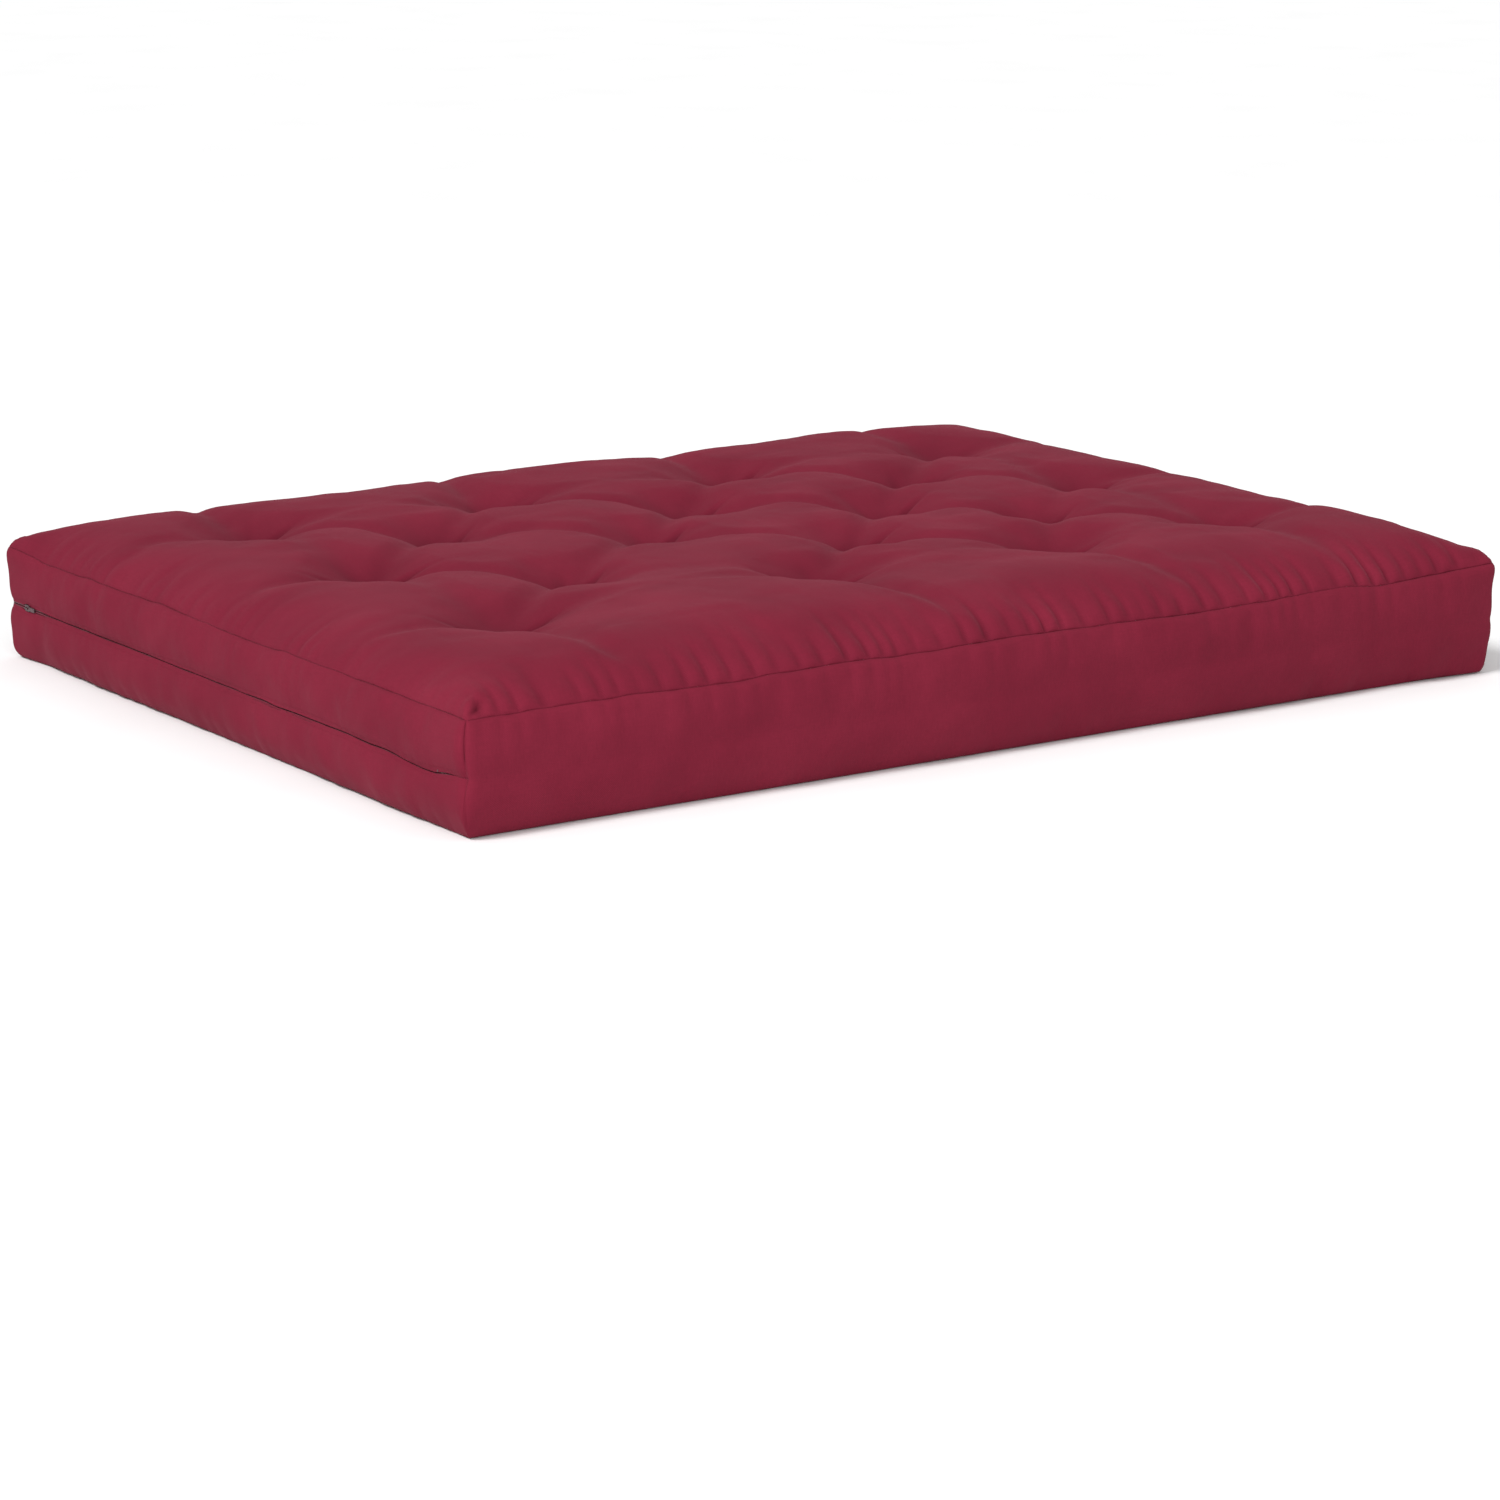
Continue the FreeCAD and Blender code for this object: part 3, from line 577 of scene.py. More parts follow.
def main_crease(x, y, random):
    """The one sharp crease through a tuft, mostly along the length of the mattress."""
    angle = random.uniform(-0.6, 0.15)
    along = x * math.cos(angle) + y * math.sin(angle)
    bend = random.uniform(0.8, 2.4) * along ** 2
    aside = y * math.cos(angle) - x * math.sin(angle) - bend
    fade = np.exp(-(along / (random.uniform(*CREASE_LENGTHS) * MM)) ** 2)
    return random.uniform(*CREASE_DEPTHS) * MM * fade * np.exp(-(aside / CREASE_WIDTH) ** 2)


def tuft_pleats(x, y):
    """Creases that radiate from the tufts."""
    random = np.random.RandomState(23)
    depth = np.zeros_like(x)
    for tuft in TUFTS:
        depth += main_crease(x - tuft.x, y - tuft.y, random)
        for angle in np.arange(random.randint(4, 7)) * PLEAT_TURN + random.uniform(0, 6.28):
            angle += random.uniform(-0.3, 0.3)
            length = random.uniform(*PLEAT_LENGTHS) * MM
            width = random.uniform(*PLEAT_WIDTHS) * MM
            deep = random.uniform(*PLEAT_DEPTHS) * MM
            along = (x - tuft.x) * math.cos(angle) + (y - tuft.y) * math.sin(angle)
            bend = random.uniform(-1.6, 1.6) * along ** 2
            aside = (y - tuft.y) * math.cos(angle) - (x - tuft.x) * math.sin(angle) - bend
            width_here = width * (1 + np.clip(along, 0, 1) / (60 * MM) * 0.5)
            narrow = np.exp(-(aside / width_here) ** 2)
            crease = 1.3 * narrow - 0.5 * np.exp(-(aside / (2.1 * width_here)) ** 2)
            fade = np.clip(along / (12 * MM), 0, 1) * np.exp(-(np.maximum(along, 0) / length) ** 2)
            depth += deep * crease * fade
    return depth


def soft_wrinkles(x, y, seed):
    """Slack in the cloth, in long shallow wrinkles of mixed directions."""
    warp_x = x + 22 * MM * value_noise(x, y, 130 * MM, seed)
    warp_y = y + 22 * MM * value_noise(x, y, 120 * MM, seed + 1)
    long = 1.3 * value_noise(warp_x, warp_y * 1.7, 74 * MM, seed + 2)
    short = 0.3 * value_noise(warp_x * 1.5, warp_y, 31 * MM, seed + 3)
    fine = 0.07 * value_noise(x, y, 14 * MM, seed + 4)
    return (long + short + fine) * MM


def seam_sway(along, distance, out, seed):
    """Slow wander of a seam line up and down and in and out, fading away from it."""
    still = np.zeros_like(along)
    rise = 2.6 * value_noise(along, still, 105 * MM, seed)
    rise += 1.0 * value_noise(along, still, 38 * MM, seed + 1)
    level = 1.5 * value_noise(along, still + 9, 90 * MM, seed + 2)
    fade = (np.exp(-(distance / (55 * MM)) ** 2) * MM)[..., None]
    return (out * level[..., None] + np.array([0, 0, 1]) * rise[..., None]) * fade


def corner_swell(x, y):
    """Share of a corner that sticks out and up; the front-left one doesn't."""
    gap = np.hypot(HALF_X - abs(x), HALF_Y - abs(y))
    return np.exp(-(gap / CORNER_SIZE) ** 2) * ((x > 0) | (y > 0))


def corner_flare(below, above):
    """How far a corner goes out at a height: out at both seams, in at the bulges between them."""
    seams = np.exp(-(below / SEAM_FLARE) ** 2) + np.exp(-(above / SEAM_FLARE) ** 2)
    upper = np.exp(-((below - UPPER_BULGE) / BULGE_FLARE) ** 2)
    lower = np.exp(-((above - LOWER_BULGE) / BULGE_FLARE) ** 2)
    return CORNER_OUT * seams - CORNER_IN * (upper + lower)


def corner_fold(left, front):
    """The small fold of cloth at the front-left corner: a groove with a ridge beside it."""
    corner = np.hypot(left, front)
    groove = np.exp(-((front - 0.42 * left) / (5 * MM)) ** 2)
    ridge = np.exp(-((front - 0.85 * left) / (9 * MM)) ** 2)
    groove_place = np.exp(-(corner - 20 * MM) ** 2 / (28 * MM) ** 2)
    ridge_place = np.exp(-(corner - 22 * MM) ** 2 / (30 * MM) ** 2)
    return -8 * MM * groove * groove_place + 5 * MM * ridge * ridge_place


def top_grid():
    """Fine points of the top panel, its border drawn down into the seam; its plan, and how deep its
    creases are, for their painted shade.
    """
    x, y = np.meshgrid(ALONG_X, ALONG_Y)
    grid = rounded(resample(top_shape, COLUMNS_Y, COLUMNS_X))
    normals = grid_normals(grid)
    front, rear, left, right = y + HALF_Y, HALF_Y - y, x + HALF_X, HALF_X - x
    edge = np.minimum.reduce([front, rear, left, right])
    by_front = 0.62 + 0.38 * np.clip((x + 0.6) / 0.5, 0, 1)
    detail = gathers(x, front, FRONT_SEED, 8.0 * MM) * by_front
    detail += gathers(x, rear, REAR_SEED, 4.0 * MM)
    detail += gathers(y, left, LEFT_SEED, 1.8 * MM) + gathers(y, right, RIGHT_SEED, 3.5 * MM)
    detail += soft_wrinkles(x, y, 71) - tuft_pleats(x, y) + corner_fold(left, front)
    grid += normals * (detail * (1 - np.exp(-edge / SEAM_EDGE)))[..., None]
    out = outward(x, y)
    grid -= leaning(out, 0.8, 0.6) * (ROLL_DEPTH * np.exp(-edge / ROLL_REACH))[..., None]
    for place, distance, half, seed in (
        (x, front, HALF_X, FRONT_SEED),
        (x, rear, HALF_X, REAR_SEED),
        (y, left, HALF_Y, LEFT_SEED),
        (y, right, HALF_Y, RIGHT_SEED),
    ):
        near = np.where(distance <= edge + 1e-9, 1, np.exp(-(distance - edge) / (20 * MM)))
        ends = 1 - np.exp(-np.maximum(half - abs(place), 0) / SEAM_END)
        grid += seam_sway(place, distance, out, seed + SWAY_SEED) * (near * ends)[..., None]
    swell = corner_swell(x, y)
    grid += out * (corner_flare(0, SEAM_Z) * swell * np.exp(-(edge / FLARE_FADE) ** 2))[..., None]
    grid[..., 2] += CORNER_UP * swell * np.exp(-(edge / (60 * MM)) ** 2)
    clear_of_knots(grid, 17 * MM)
    # The last value is a painted shade mask: how deep the creases and puckers sink, from 0 to 1.
    return grid, x, y, np.clip(-detail / (6 * MM), 0, 1)


FRONT_START, RIGHT_START, REAR_START, LEFT_START = 0, CELLS_X, CELLS_X + CELLS_Y, 2 * CELLS_X + CELLS_Y


def wall_grid(first, rows, along):
    """Fine points of the boxing from a ring column on, over the places of some level rows."""
    count = CELLS_X if len(along) == len(ALONG_X) else CELLS_Y
    ring = np.arange(first, first + count + 1) % len(RING)
    seam = top_shape[RING[ring, 0], RING[ring, 1]]
    levels = np.concatenate([seam[None], wall_shape[:FOOT_LEVEL, ring]])
    columns = COLUMNS_X if count == CELLS_X else COLUMNS_Y
    return rounded(resample(levels, rows, columns))


def square_plan(first, along):
    """Plan position on the square outline of each fine column of a side."""
    along_x, along_y, place = {
        FRONT_START: (1, 0, -1),
        RIGHT_START: (0, 1, 1),
        REAR_START: (-1, 0, 1),
        LEFT_START: (0, -1, -1),
    }[first]
    if along_x:
        return along * along_x, np.full_like(along, place * HALF_Y)
    return np.full_like(along, place * HALF_X), along * along_y


def wall_detail(place, z, zipped, seed, gather):
    """Puckers along the seams of a side and slack wrinkles over it."""
    slack = 1.0 if zipped else 0.8 + 0.9 * np.clip((place + 0.3) / 0.8, 0, 1)
    detail = gathers(place, SEAM_Z - z, seed, gather)
    detail += gathers(place, z, seed + 3, 1.1 * MM, 42 * MM, 30 * MM)
    folds = value_noise(place + 0.25 * z, z * 0.3, 46 * MM, seed + 6)
    detail += 1.3 * MM * slack * folds * (0.5 + 0.8 * np.clip(1 - z / (110 * MM), 0, 1))
    detail += 2.6 * MM * slack * value_noise(place + 0.4 * z, z * 0.5, 125 * MM, seed + 7)
    detail += 0.12 * MM * value_noise(place, z, 16 * MM, seed + 8)
    if zipped:
        detail += gathers(place, abs(z - ZIP_Z), seed + 9, 0.9 * MM, 23 * MM, 13 * MM)
    return detail


def drawn_in(z, end, out, plan_y, zipped):
    """How far each point of a strip is drawn into the seams at its borders."""
    below, above, zip_gap = SEAM_Z - z, z, abs(z - ZIP_Z)
    share_top, share_foot = np.exp(-below / ROLL_REACH), np.exp(-above / ROLL_REACH)
    share_end = np.exp(-end / ROLL_REACH) * (1 - share_top) * (1 - share_foot)
    if zipped:
        share_end = share_end * (1 - np.exp(-(zip_gap / (9 * MM)) ** 2) * (plan_y[None] > 0))
        closed = 1 - np.clip((plan_y - ZIP_START) / ZIP_RUN_OUT, 0, 1)[None]
        share_end = np.maximum(share_end, 0.6 * closed * np.exp(-zip_gap / ROLL_REACH))
    return ROLL_DEPTH * (
        share_top[..., None] * leaning(out, 0.8, 0.6)
        + share_foot[..., None] * leaning(out, 0.6, -0.8)
        + share_end[..., None] * out
    )


def finished_wall(first, rows, along, seed, gather):
    """Boxing strip with its puckers and wrinkles, its borders drawn into their seams."""
    zipped = first != FRONT_START
    grid = wall_grid(first, rows, along)
    plan_x, plan_y = square_plan(first, along)
    out = outward(plan_x, plan_y)[None]
    lengthwise = abs(plan_x[0] - plan_x[-1]) > HALF_X
    heights = np.interp(rows, np.arange(FOOT_LEVEL + 1), HEIGHTS)
    z, place = np.meshgrid(heights, plan_x if lengthwise else plan_y, indexing="ij")
    below, above = SEAM_Z - z, z
    end = (abs(along[0]) - abs(along))[None] + 0 * z
    edge = np.minimum.reduce([below, above, end])
    if zipped:
        edge = np.minimum(edge, abs(z - ZIP_Z))
    detail = wall_detail(place, z, zipped, seed, gather)
    grid -= grid_normals(grid) * (detail * (1 - np.exp(-edge / SEAM_EDGE)))[..., None]
    grid -= drawn_in(z, end, out, plan_y, zipped)
    ends = 1 - np.exp(-end / SEAM_END)
    grid += seam_sway(place, below, out + 0 * grid, seed + SWAY_SEED) * ends[..., None]
    swell = corner_swell(plan_x, plan_y)[None]
    grid += out * (swell * corner_flare(below, above))[..., None]
    grid[..., 2] += CORNER_UP * swell * np.exp(-(below / (45 * MM)) ** 2)
    return grid, place, z, out


def add_map(item, u, v):
    """Cloth coordinates in metres on the item's corners."""
    layer = item.data.uv_layers.new(name="cloth")
    index = np.zeros(len(item.data.loops), int)
    item.data.loops.foreach_get("vertex_index", index)
    flat = np.stack([np.ravel(u)[index], np.ravel(v)[index]], -1)
    layer.data.foreach_set("uv", flat.ravel())


def grid_item(name, grid, u, v, turned=False, skirt=None):
    """Object from a grid of points, with an optional skirt of rows below its border."""
    index = np.arange(grid.shape[0] * grid.shape[1]).reshape(grid.shape[:2])
    faces = quads(index)
    points = grid.reshape(-1, 3).copy()
    u, v = np.ravel(u), np.ravel(v)
    if skirt is not None:
        ring = perimeter(grid.shape[1] - 1, grid.shape[0] - 1)
        border = index[ring[:, 0], ring[:, 1]]
        rows = np.arange(len(skirt) * len(ring)).reshape(len(skirt), -1) + len(points)
        levels = np.vstack([border, rows])
        faces = np.vstack([faces, quads(np.hstack([levels, levels[:, :1]]))[:, ::-1]])
        points = np.vstack([points, skirt.reshape(-1, 3)])
        u = np.concatenate([u, np.tile(u[border], len(skirt))])
        v = np.concatenate([v, np.tile(v[border], len(skirt))])
    points[:, 2] = np.maximum(points[:, 2], 0)
    item = mesh_object(name, points, faces[:, ::-1] if turned else faces)
    add_map(item, u, v)
    return item


def border_skirt(grid, x, y, level, rise, steps):
    """Seam allowance turned inside a panel, all round its border."""
    ring = perimeter(grid.shape[1] - 1, grid.shape[0] - 1)
    edge = grid[ring[:, 0], ring[:, 1]]
    lean = leaning(outward(x[ring[:, 0], ring[:, 1]], y[ring[:, 0], ring[:, 1]]), level, rise)
    return np.stack([edge - lean * step for step in steps])


def across_fold(item):
    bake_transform(item)


def halves(stem):
    return stem + "_seat", stem + "_back"


# ---------------------------------------------------------------- materials
TWILL_DYES = [
    (0.30, (0.120, 0.0078, 0.0203)),
    (0.52, (0.148, 0.0098, 0.0250)),
    (0.76, (0.186, 0.0140, 0.0325)),
]
# Colour of the painted shade in the tufts, valleys and creases of the top panel.
TWILL_PAINTED_SHADE = (0.050, 0.0028, 0.0085, 1)
TWILL_NAP = (0.85, 0.25, 0.33, 1)
ENAMEL = [(0.3, (0.028, 0.006, 0.010)), (0.7, (0.060, 0.016, 0.022))]
BARE_ZINC = (0.33, 0.31, 0.30, 1)
NYLON_DYES = [(0.3, (0.085, 0.010, 0.020)), (0.7, (0.160, 0.024, 0.040))]
FIBRE_STOPS = (0.3, 0.5, 0.72)


def start_material(name):
    material = bpy.data.materials.new(name)
    material.use_nodes = True
    return material, material.node_tree, material.node_tree.nodes["Principled BSDF"]


def feed(tree, target, inputs):
    """Give a node its inputs: numbers are set, sockets are linked."""
    for key, value in inputs.items():
        if isinstance(value, bpy.types.NodeSocket):
            tree.links.new(value, target.inputs[key])
        else:
            target.inputs[key].default_value = value


def node(tree, kind, inputs, **settings):
    """New node with its settings and its inputs."""
    made = tree.nodes.new(kind)
    for key, value in settings.items():
        setattr(made, key, value)
    feed(tree, made, inputs)
    return made


def blend_colours(tree, factor, first, second):
    """Colour between two others, each a socket or a colour."""
    return node(tree, "ShaderNodeMix", {0: factor, 6: first, 7: second}, data_type="RGBA").outputs[2]


def noise(tree, place, scale, detail=2.0, stretch=None):
    """Noise over a place, finer as the scale grows."""
    if stretch:
        place = node(tree, "ShaderNodeMapping", {"Vector": place, "Scale": stretch}).outputs[0]
    made = node(tree, "ShaderNodeTexNoise", {"Vector": place, "Scale": scale, "Detail": detail})
    return made.outputs["Fac"]


def ramp(tree, factor, stops):
    made = node(tree, "ShaderNodeValToRGB", {"Fac": factor})
    while len(made.color_ramp.elements) < len(stops):
        made.color_ramp.elements.new(0.5)
    for element, (position, colour) in zip(made.color_ramp.elements, stops):
        element.position = position
        element.color = (*colour, 1)
    return made.outputs["Color"]


def total(tree, *terms):
    """Sum of sockets, each times a weight."""
    running = 0.0
    for socket, weight in terms:
        inputs = {0: socket, 1: weight, 2: running}
        running = node(tree, "ShaderNodeMath", inputs, operation="MULTIPLY_ADD").outputs[0]
    return running


def onto_range(tree, value, low, high):
    """A value from 0 to 1 spread over a range."""
    return node(tree, "ShaderNodeMapRange", {"Value": value, "To Min": low, "To Max": high}).outputs[0]


def within_range(tree, value, low, high):
    """Where a value lies in a range, from 0 to 1."""
    inputs = {"Value": value, "From Min": low, "From Max": high}
    return node(tree, "ShaderNodeMapRange", inputs).outputs[0]


def bump(tree, height, distance, strength=1.0, normal=None):
    inputs = {"Height": height, "Distance": distance, "Strength": strength}
    if normal is not None:
        inputs["Normal"] = normal
    return node(tree, "ShaderNodeBump", inputs).outputs[0]


def cloth_place(tree):
    return node(tree, "ShaderNodeUVMap", {}, uv_map="cloth").outputs[0]


def object_place(tree):
    return node(tree, "ShaderNodeTexCoord", {}).outputs["Object"]


def twill_material():
    """Brushed burgundy twill: fine diagonal rib, uneven dye, a soft nap that catches light, and painted
    shade that darkens it in tufts, valleys and creases.
    """
    material, tree, shader = start_material("cover_twill")
    place = cloth_place(tree)
    rib_inputs = {"Vector": place, "Scale": 210, "Distortion": 1.2, "Detail": 1.5, "Detail Scale": 0.7}
    rib = node(tree, "ShaderNodeTexWave", rib_inputs, bands_direction="DIAGONAL").outputs["Fac"]
    slub = noise(tree, place, 60, 3, (1, 7, 1))
    slub_across = noise(tree, place, 60, 3, (7, 1, 1))
    fleck = noise(tree, place, 900, 2)
    patch = noise(tree, place, 5.5, 3)
    tone = total(tree, (patch, 0.5), (slub, 0.22), (slub_across, 0.18), (fleck, 0.16))
    # Painted shade: the colour darkens towards the shade colour where the top panel sinks into tufts,
    # valleys and creases.
    painted_shade = node(tree, "ShaderNodeAttribute", {}, attribute_name="painted_shade").outputs["Fac"]
    shade = total(tree, (painted_shade, 0.55))
    crumple = bump(tree, noise(tree, place, 34, 3), 0.9 * MM, 0.3)
    weave = total(tree, (rib, 0.5), (slub, 0.5), (slub_across, 0.5), (fleck, 0.35))
    feed(tree, shader, {
        "Base Color": blend_colours(tree, shade, ramp(tree, tone, TWILL_DYES), TWILL_PAINTED_SHADE),
        "Roughness": onto_range(tree, slub, 0.78, 0.95),
        "Normal": bump(tree, weave, 0.22 * MM, 0.8, crumple),
        "Sheen Weight": 0.09,
        "Sheen Roughness": 0.42,
        "Sheen Tint": TWILL_NAP,
        "Specular IOR Level": 0.1,
    })
    return material


def fibre_material(name, colours, scale, stretch, relief, sheen=0.2, stripes=None, place_of=cloth_place):
    """Woven or matted fibre: mottled colour, nap and relief from stretched noise."""
    material, tree, shader = start_material(name)
    place = place_of(tree)
    coarse = noise(tree, place, scale / 12, 3)
    warp = noise(tree, place, scale, 3, stretch)
    weft = noise(tree, place, scale, 3, (stretch[1], stretch[0], stretch[2]))
    tone = total(tree, (coarse, 0.4), (warp, 0.3), (weft, 0.3))
    colour = ramp(tree, tone, list(zip(FIBRE_STOPS, colours)))
    if stripes:
        stripe_scale, stripe_colour = stripes
        line_inputs = {"Vector": place, "Scale": stripe_scale, "Distortion": 0.15}
        line = node(tree, "ShaderNodeTexWave", line_inputs, bands_direction="X").outputs["Fac"]
        colour = blend_colours(tree, within_range(tree, line, 0.9, 0.97), colour, (*stripe_colour, 1))
    height = total(tree, (coarse, 0.5), (warp, 0.5), (weft, 0.5))
    feed(tree, shader, {
        "Base Color": colour,
        "Roughness": onto_range(tree, warp, 0.8, 0.97),
        "Normal": bump(tree, height, relief, 0.8),
        "Sheen Weight": sheen,
        "Specular IOR Level": 0.3,
    })
    return material


def metal_material():
    """Dark enamelled zinc, scuffed to bare metal in small spots and scratches."""
    material, tree, shader = start_material("zip_metal")
    place = object_place(tree)
    scuff = noise(tree, place, 900, 4)
    scratch = noise(tree, place, 420, 3, (1, 9, 2))
    wear = within_range(tree, total(tree, (scuff, 0.6), (scratch, 0.4)), 0.58, 0.68)
    tone = ramp(tree, noise(tree, place, 240, 3), ENAMEL)
    relief = total(tree, (scuff, 0.5), (scratch, 0.5))
    feed(tree, shader, {
        "Base Color": blend_colours(tree, wear, tone, BARE_ZINC),
        "Metallic": total(tree, (wear, 0.8)),
        "Roughness": onto_range(tree, scratch, 0.28, 0.52),
        "Normal": bump(tree, relief, 0.05 * MM, 0.5),
    })
    return material


def nylon_material():
    """Dyed nylon monofilament of the coils: smooth, with uneven dye."""
    material, tree, shader = start_material("zip_coil")
    place = cloth_place(tree)
    tone = total(tree, (noise(tree, place, 30, 3), 0.6), (noise(tree, place, 700, 2), 0.4))
    feed(tree, shader, {
        "Base Color": ramp(tree, tone, NYLON_DYES),
        "Roughness": onto_range(tree, tone, 0.25, 0.45),
        "Normal": bump(tree, noise(tree, place, 1500, 2), 0.03 * MM, 0.6),
    })
    return material


MATERIALS = {
    "cover_twill": twill_material(),
    "cotton_ticking": fibre_material(
        "cotton_ticking", [(0.58, 0.53, 0.44), (0.68, 0.63, 0.54), (0.76, 0.72, 0.63)],
        900, (1, 6, 1), 0.25 * MM, stripes=(26, (0.20, 0.25, 0.34))),
    "cotton_batting": fibre_material(
        "cotton_batting", [(0.66, 0.62, 0.54), (0.78, 0.75, 0.68), (0.86, 0.84, 0.79)],
        160, (1, 3, 1), 2.2 * MM, 0.5),
    "foam": fibre_material(
        "foam", [(0.62, 0.50, 0.28), (0.72, 0.61, 0.37), (0.80, 0.70, 0.46)],
        700, (1, 1.2, 1), 0.8 * MM, 0.1),
    "waxed_twine": fibre_material(
        "waxed_twine", [(0.50, 0.42, 0.28), (0.62, 0.54, 0.38), (0.72, 0.65, 0.49)],
        1400, (1, 4, 1), 0.15 * MM, 0.1, place_of=object_place),
    "wool_felt": fibre_material(
        "wool_felt", [(0.30, 0.28, 0.26), (0.40, 0.38, 0.35), (0.50, 0.47, 0.43)],
        1100, (1, 2, 1), 0.4 * MM, 0.5, place_of=object_place),
    "zip_tape": fibre_material(
        "zip_tape", [(0.070, 0.008, 0.016), (0.110, 0.014, 0.026), (0.150, 0.022, 0.038)],
        1500, (1, 5, 1), 0.12 * MM, 0.2),
    "zip_coil": nylon_material(),
    "zip_metal": metal_material(),
}


def dressed(item, slot, replaced, body=None):
    """Give a piece its material, hide the CAD nodes that it stands for, and hang it on its body, or else
    bake its place into its mesh.
    """
    item.data.materials.append(MATERIALS[slot])
    if replaced:
        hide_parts(*replaced)
    if body:
        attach(item, body)
    else:
        across_fold(item)
    return item


# ---------------------------------------------------------------- cover
ALLOWANCE_STEPS = (3.5 * MM, 8 * MM)
HEM_DEPTH = 13 * MM
# Sunk depth at which the painted shade in tufts and valleys reaches full strength.
SHADE_FULL_DEPTH = 40 * MM
DRAWN_UP = 9 * MM
BASE_CELLS_X, BASE_CELLS_Y = 75, 54
BASE_EDGE = 14 * MM
ZIP_GAP = 0.9 * MM
OPEN_GAP = 1.7 * MM
OPEN_Y, OPEN_X = 0.54, 0.86
OPEN_RUN = 0.05
SLIDER_GAP = 4.0 * MM
SLIDER_REACH = 13 * MM
LIP_REACH = 8 * MM
FREE_Y, FREE_RUN = 0.1, 0.15
SAG_Y, SAG_RUN = -0.58, 0.07
SAG_DEPTH = 6 * MM


def add_painted_shade(item, x, y, crease_shade):
    """How deep each point lies in a tuft, valley or crease, from 0 to 1, as painted shade that darkens
    the cloth there.
    """
    layer = item.data.attributes.new("painted_shade", "FLOAT", "POINT")
    # Painted shade: darker the deeper the cloth sinks into a tuft or valley, and in creases and puckers.
    sunk = np.clip(sunk_depth(np.ravel(x), np.ravel(y)) / SHADE_FULL_DEPTH, 0, 1) ** 1.5
    depth = np.clip(0.75 * sunk + 0.7 * np.ravel(crease_shade), 0, 1)
    values = np.zeros(len(item.data.vertices))
    values[:len(depth)] = depth
    layer.data.foreach_set("value", values)


def make_top_panel():
    grid, x, y, crease_shade = top_grid()
    skirt = border_skirt(grid, x, y, 1, -0.05, ALLOWANCE_STEPS)
    item = grid_item("cover_top_panel", grid, x, y, skirt=skirt)
    # Painted shade on the top panel, darker where it sinks into tufts, valleys and creases.
    add_painted_shade(item, x, y, crease_shade)
    dressed(item, "cover_twill", halves("cover_top"))


def drawn_up(x, y):
    """Height to which the tufts draw up the underside."""
    return DRAWN_UP * sum(dimple(np.hypot(x - tuft.x, y - tuft.y)) for tuft in TUFTS)


def make_base_panel():
    """Underside of the cover, lying on the floor, a little drawn up at the tufts."""
    xs = places(BASE_CELLS_X, 2 * HALF_X / BASE_CELLS_X, 1) / BASE_CELLS_X * 2 - 1
    ys = places(BASE_CELLS_Y, 2 * HALF_Y / BASE_CELLS_Y, 1) / BASE_CELLS_Y * 2 - 1
    x, y = np.meshgrid(xs * (HALF_X - FOOT_TUCK), ys * (HALF_Y - FOOT_TUCK))
    edge = np.minimum(HALF_X - FOOT_TUCK - abs(x), HALF_Y - FOOT_TUCK - abs(y))
    height = (1.2 + 0.8 * value_noise(x, y, 90 * MM, 81)) * MM + drawn_up(x, y)
    grid = rounded(np.stack([x, y, height * (1 - np.exp(-edge / BASE_EDGE))], -1))
    out = outward(x, y)
    grid -= leaning(out, 0.6, -0.8) * (ROLL_DEPTH * np.exp(-edge / ROLL_REACH))[..., None]
    swell = corner_swell(xs[None] * HALF_X, ys[:, None] * HALF_Y) * np.exp(-(edge / FLARE_FADE) ** 2)
    grid += out * (corner_flare(SEAM_Z, 0) * swell)[..., None]
    skirt = border_skirt(grid, x, y, 1, -0.3, ALLOWANCE_STEPS)
    item = grid_item("cover_base_panel", grid, x, y, turned=True, skirt=skirt)
    dressed(item, "cover_twill", halves("cover_base"))


def with_allowance(grid, out, u, v, top, foot):
    """The strip with its seam allowance turned inside at its sewn borders."""
    above = [grid[:1] - leaning(out, 1, 0.35) * step for step in ALLOWANCE_STEPS[::-1]] if top else []
    under = [grid[-1:] - leaning(out, 1, -0.8) * step for step in ALLOWANCE_STEPS] if foot else []
    grid = np.concatenate([*above, grid, *under])
    along = [grid[:, 1:2] - grid[:, :1], grid[:, -2:-1] - grid[:, -1:]]
    own = [side / np.linalg.norm(side, axis=-1, keepdims=True) * 0.5 * MM for side in along]
    before = [grid[:, :1] - out[:, :1] * step + own[0] for step in ALLOWANCE_STEPS[::-1]]
    after = [grid[:, -1:] - out[:, -1:] * step + own[1] for step in ALLOWANCE_STEPS]
    pads = ((len(above), len(under)), (len(before), len(after)))
    grid = np.concatenate([*before, grid, *after], axis=1)
    return grid, np.pad(u, pads, "edge"), np.pad(v, pads, "edge")


def make_front_boxing():
    rows = np.unique(np.concatenate([UPPER_PLACES, UPPER_ROWS + LOWER_PLACES]))
    grid, place, z, out = finished_wall(FRONT_START, rows, ALONG_X, FRONT_SEED, 2.0 * MM)
    grid, place, z = with_allowance(grid, out, place, z, True, True)
    item = grid_item("cover_front_boxing", grid, place, z, turned=True)
    dressed(item, "cover_twill", ["cover_front"], "seat_half")


